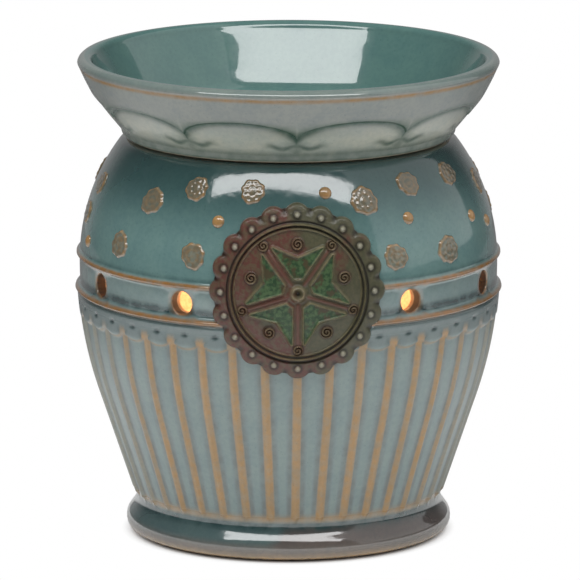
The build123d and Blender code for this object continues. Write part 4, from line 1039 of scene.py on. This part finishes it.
def light_room():
    """The key and top boxes in front, a dim card at the right, and the room."""
    way = Vector((0, -math.cos(KEY_RISE), math.sin(KEY_RISE)))
    up = Vector((0, math.sin(KEY_RISE), math.cos(KEY_RISE)))
    boxes = [("key", KEY_X, KEY_UP, KEY_RADIANCE), ("top", TOP_X, TOP_UP, TOP_RADIANCE)]
    for name, across, rise, radiance in boxes:
        middle = Vector((sum(across) / 2, 0, KEY_FROM_Z)) + way * KEY_AWAY + up * sum(rise) / 2
        box = soft_box(name, middle, -way, across, rise, radiance, BOX_ROLL)
        box.visible_glossy = name == "key"
    middle = (CARD_X, sum(CARD_Y) / 2, sum(CARD_Z) / 2)
    card = soft_box("card", middle, (-1, 0, 0), CARD_Y, CARD_Z, CARD_RADIANCE)
    card.visible_diffuse = False

    world = bpy.data.worlds.new("room")
    world.use_nodes = True
    world.node_tree.nodes.clear()
    bpy.context.scene.world = world
    room = Nodes(world.node_tree)
    facing = room.add("SeparateXYZ", {0: room.add("TexCoord").outputs["Generated"]}).outputs["Y"]
    strengths = room.between(facing, *ROOM_TURNS_BRIGHT, ROOM_FRONT, ROOM_BACK), ROOM_FILL, 1.0
    white = [{"Color": (1, 1, 1, 1), "Strength": strength} for strength in strengths]
    in_gloss, on_surfaces, seen = [room.add("Background", inputs).outputs[0] for inputs in white]
    path = room.add("LightPath").outputs
    unseen = room.choose(path["Is Diffuse Ray"], in_gloss, on_surfaces)
    room.add("OutputWorld", {"Surface": room.choose(path["Is Camera Ray"], unseen, seen)})


def lay_floor():
    """A pale floor, which keeps the object's shadow near it and is plain white to the camera further off; to
    the object it is a painted pool of light.
    """
    mesh = bpy.data.meshes.new("floor")
    corners = [(x * FLOOR_HALF, y * FLOOR_HALF, 0) for x, y in ((-1, -1), (1, -1), (1, 1), (-1, 1))]
    mesh.from_pydata(corners, [], [(0, 1, 2, 3)])
    look = Look("floor", Roughness=0.9)
    moves = {"Location": (0, -FLOOR_PAINTED_LIGHT_Y, 0), "Scale": (FLOOR_PAINTED_LIGHT_ACROSS, 1, 1), "Vector": look.place}
    lit = look.add("Mapping", moves).outputs[0]
    lengths = [look.add("VectorMath", {0: place}, operation="LENGTH") for place in (look.place, lit)]
    away, off_painted_light = [length.outputs["Value"] for length in lengths]
    # Painted light: the floor is painted bright in the middle and darker further off, as if lit there
    look.paint(look.mix(look.between(off_painted_light, *FLOOR_PAINTED_FADE), srgb(240, 240, 240), srgb(118, 118, 118)))
    seen = look.add("LightPath").outputs["Is Camera Ray"]
    white = look.math("MULTIPLY", look.between(away, *SHADOW_REACH), seen)
    mixed = look.choose(white, look.shader.outputs[0], look.add("Emission").outputs[0])
    look.feed(look.tree.nodes["Material Output"].inputs["Surface"], mixed)
    mesh.materials.append(look.material)
    add_object("floor", mesh)


def dress(frame):
    """Puts the modelled pieces in the place of their solids, and finishes the rest."""
    urn_look = urn_glaze()
    pieces = [
        (urn(urn_look), "base", "urn_glaze", ["body_shell"]),
        (sprigs(urn_look), "base", "urn_glaze", []),
        (plaque(plaque_glaze()), "base", "medallion_glaze", ["medallion"]),
        (dish(dish_glaze()), "dish", "dish_glaze", ["wax_dish"]),
    ]
    for piece, body, slot, nodes in pieces:
        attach(piece, body)
        if nodes:
            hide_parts(*nodes)
    finish_nodes(frame["nodes"])


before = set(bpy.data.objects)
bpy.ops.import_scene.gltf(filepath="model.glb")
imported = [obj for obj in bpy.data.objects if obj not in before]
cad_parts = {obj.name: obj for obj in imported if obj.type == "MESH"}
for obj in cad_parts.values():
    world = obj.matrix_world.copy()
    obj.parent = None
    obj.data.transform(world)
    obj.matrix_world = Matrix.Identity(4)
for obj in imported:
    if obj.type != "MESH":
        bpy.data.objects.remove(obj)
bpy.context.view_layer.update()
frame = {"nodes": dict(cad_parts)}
bpy.context.scene.view_settings.view_transform = "Standard"
place_camera()
light_room()
lay_floor()
dress(frame)
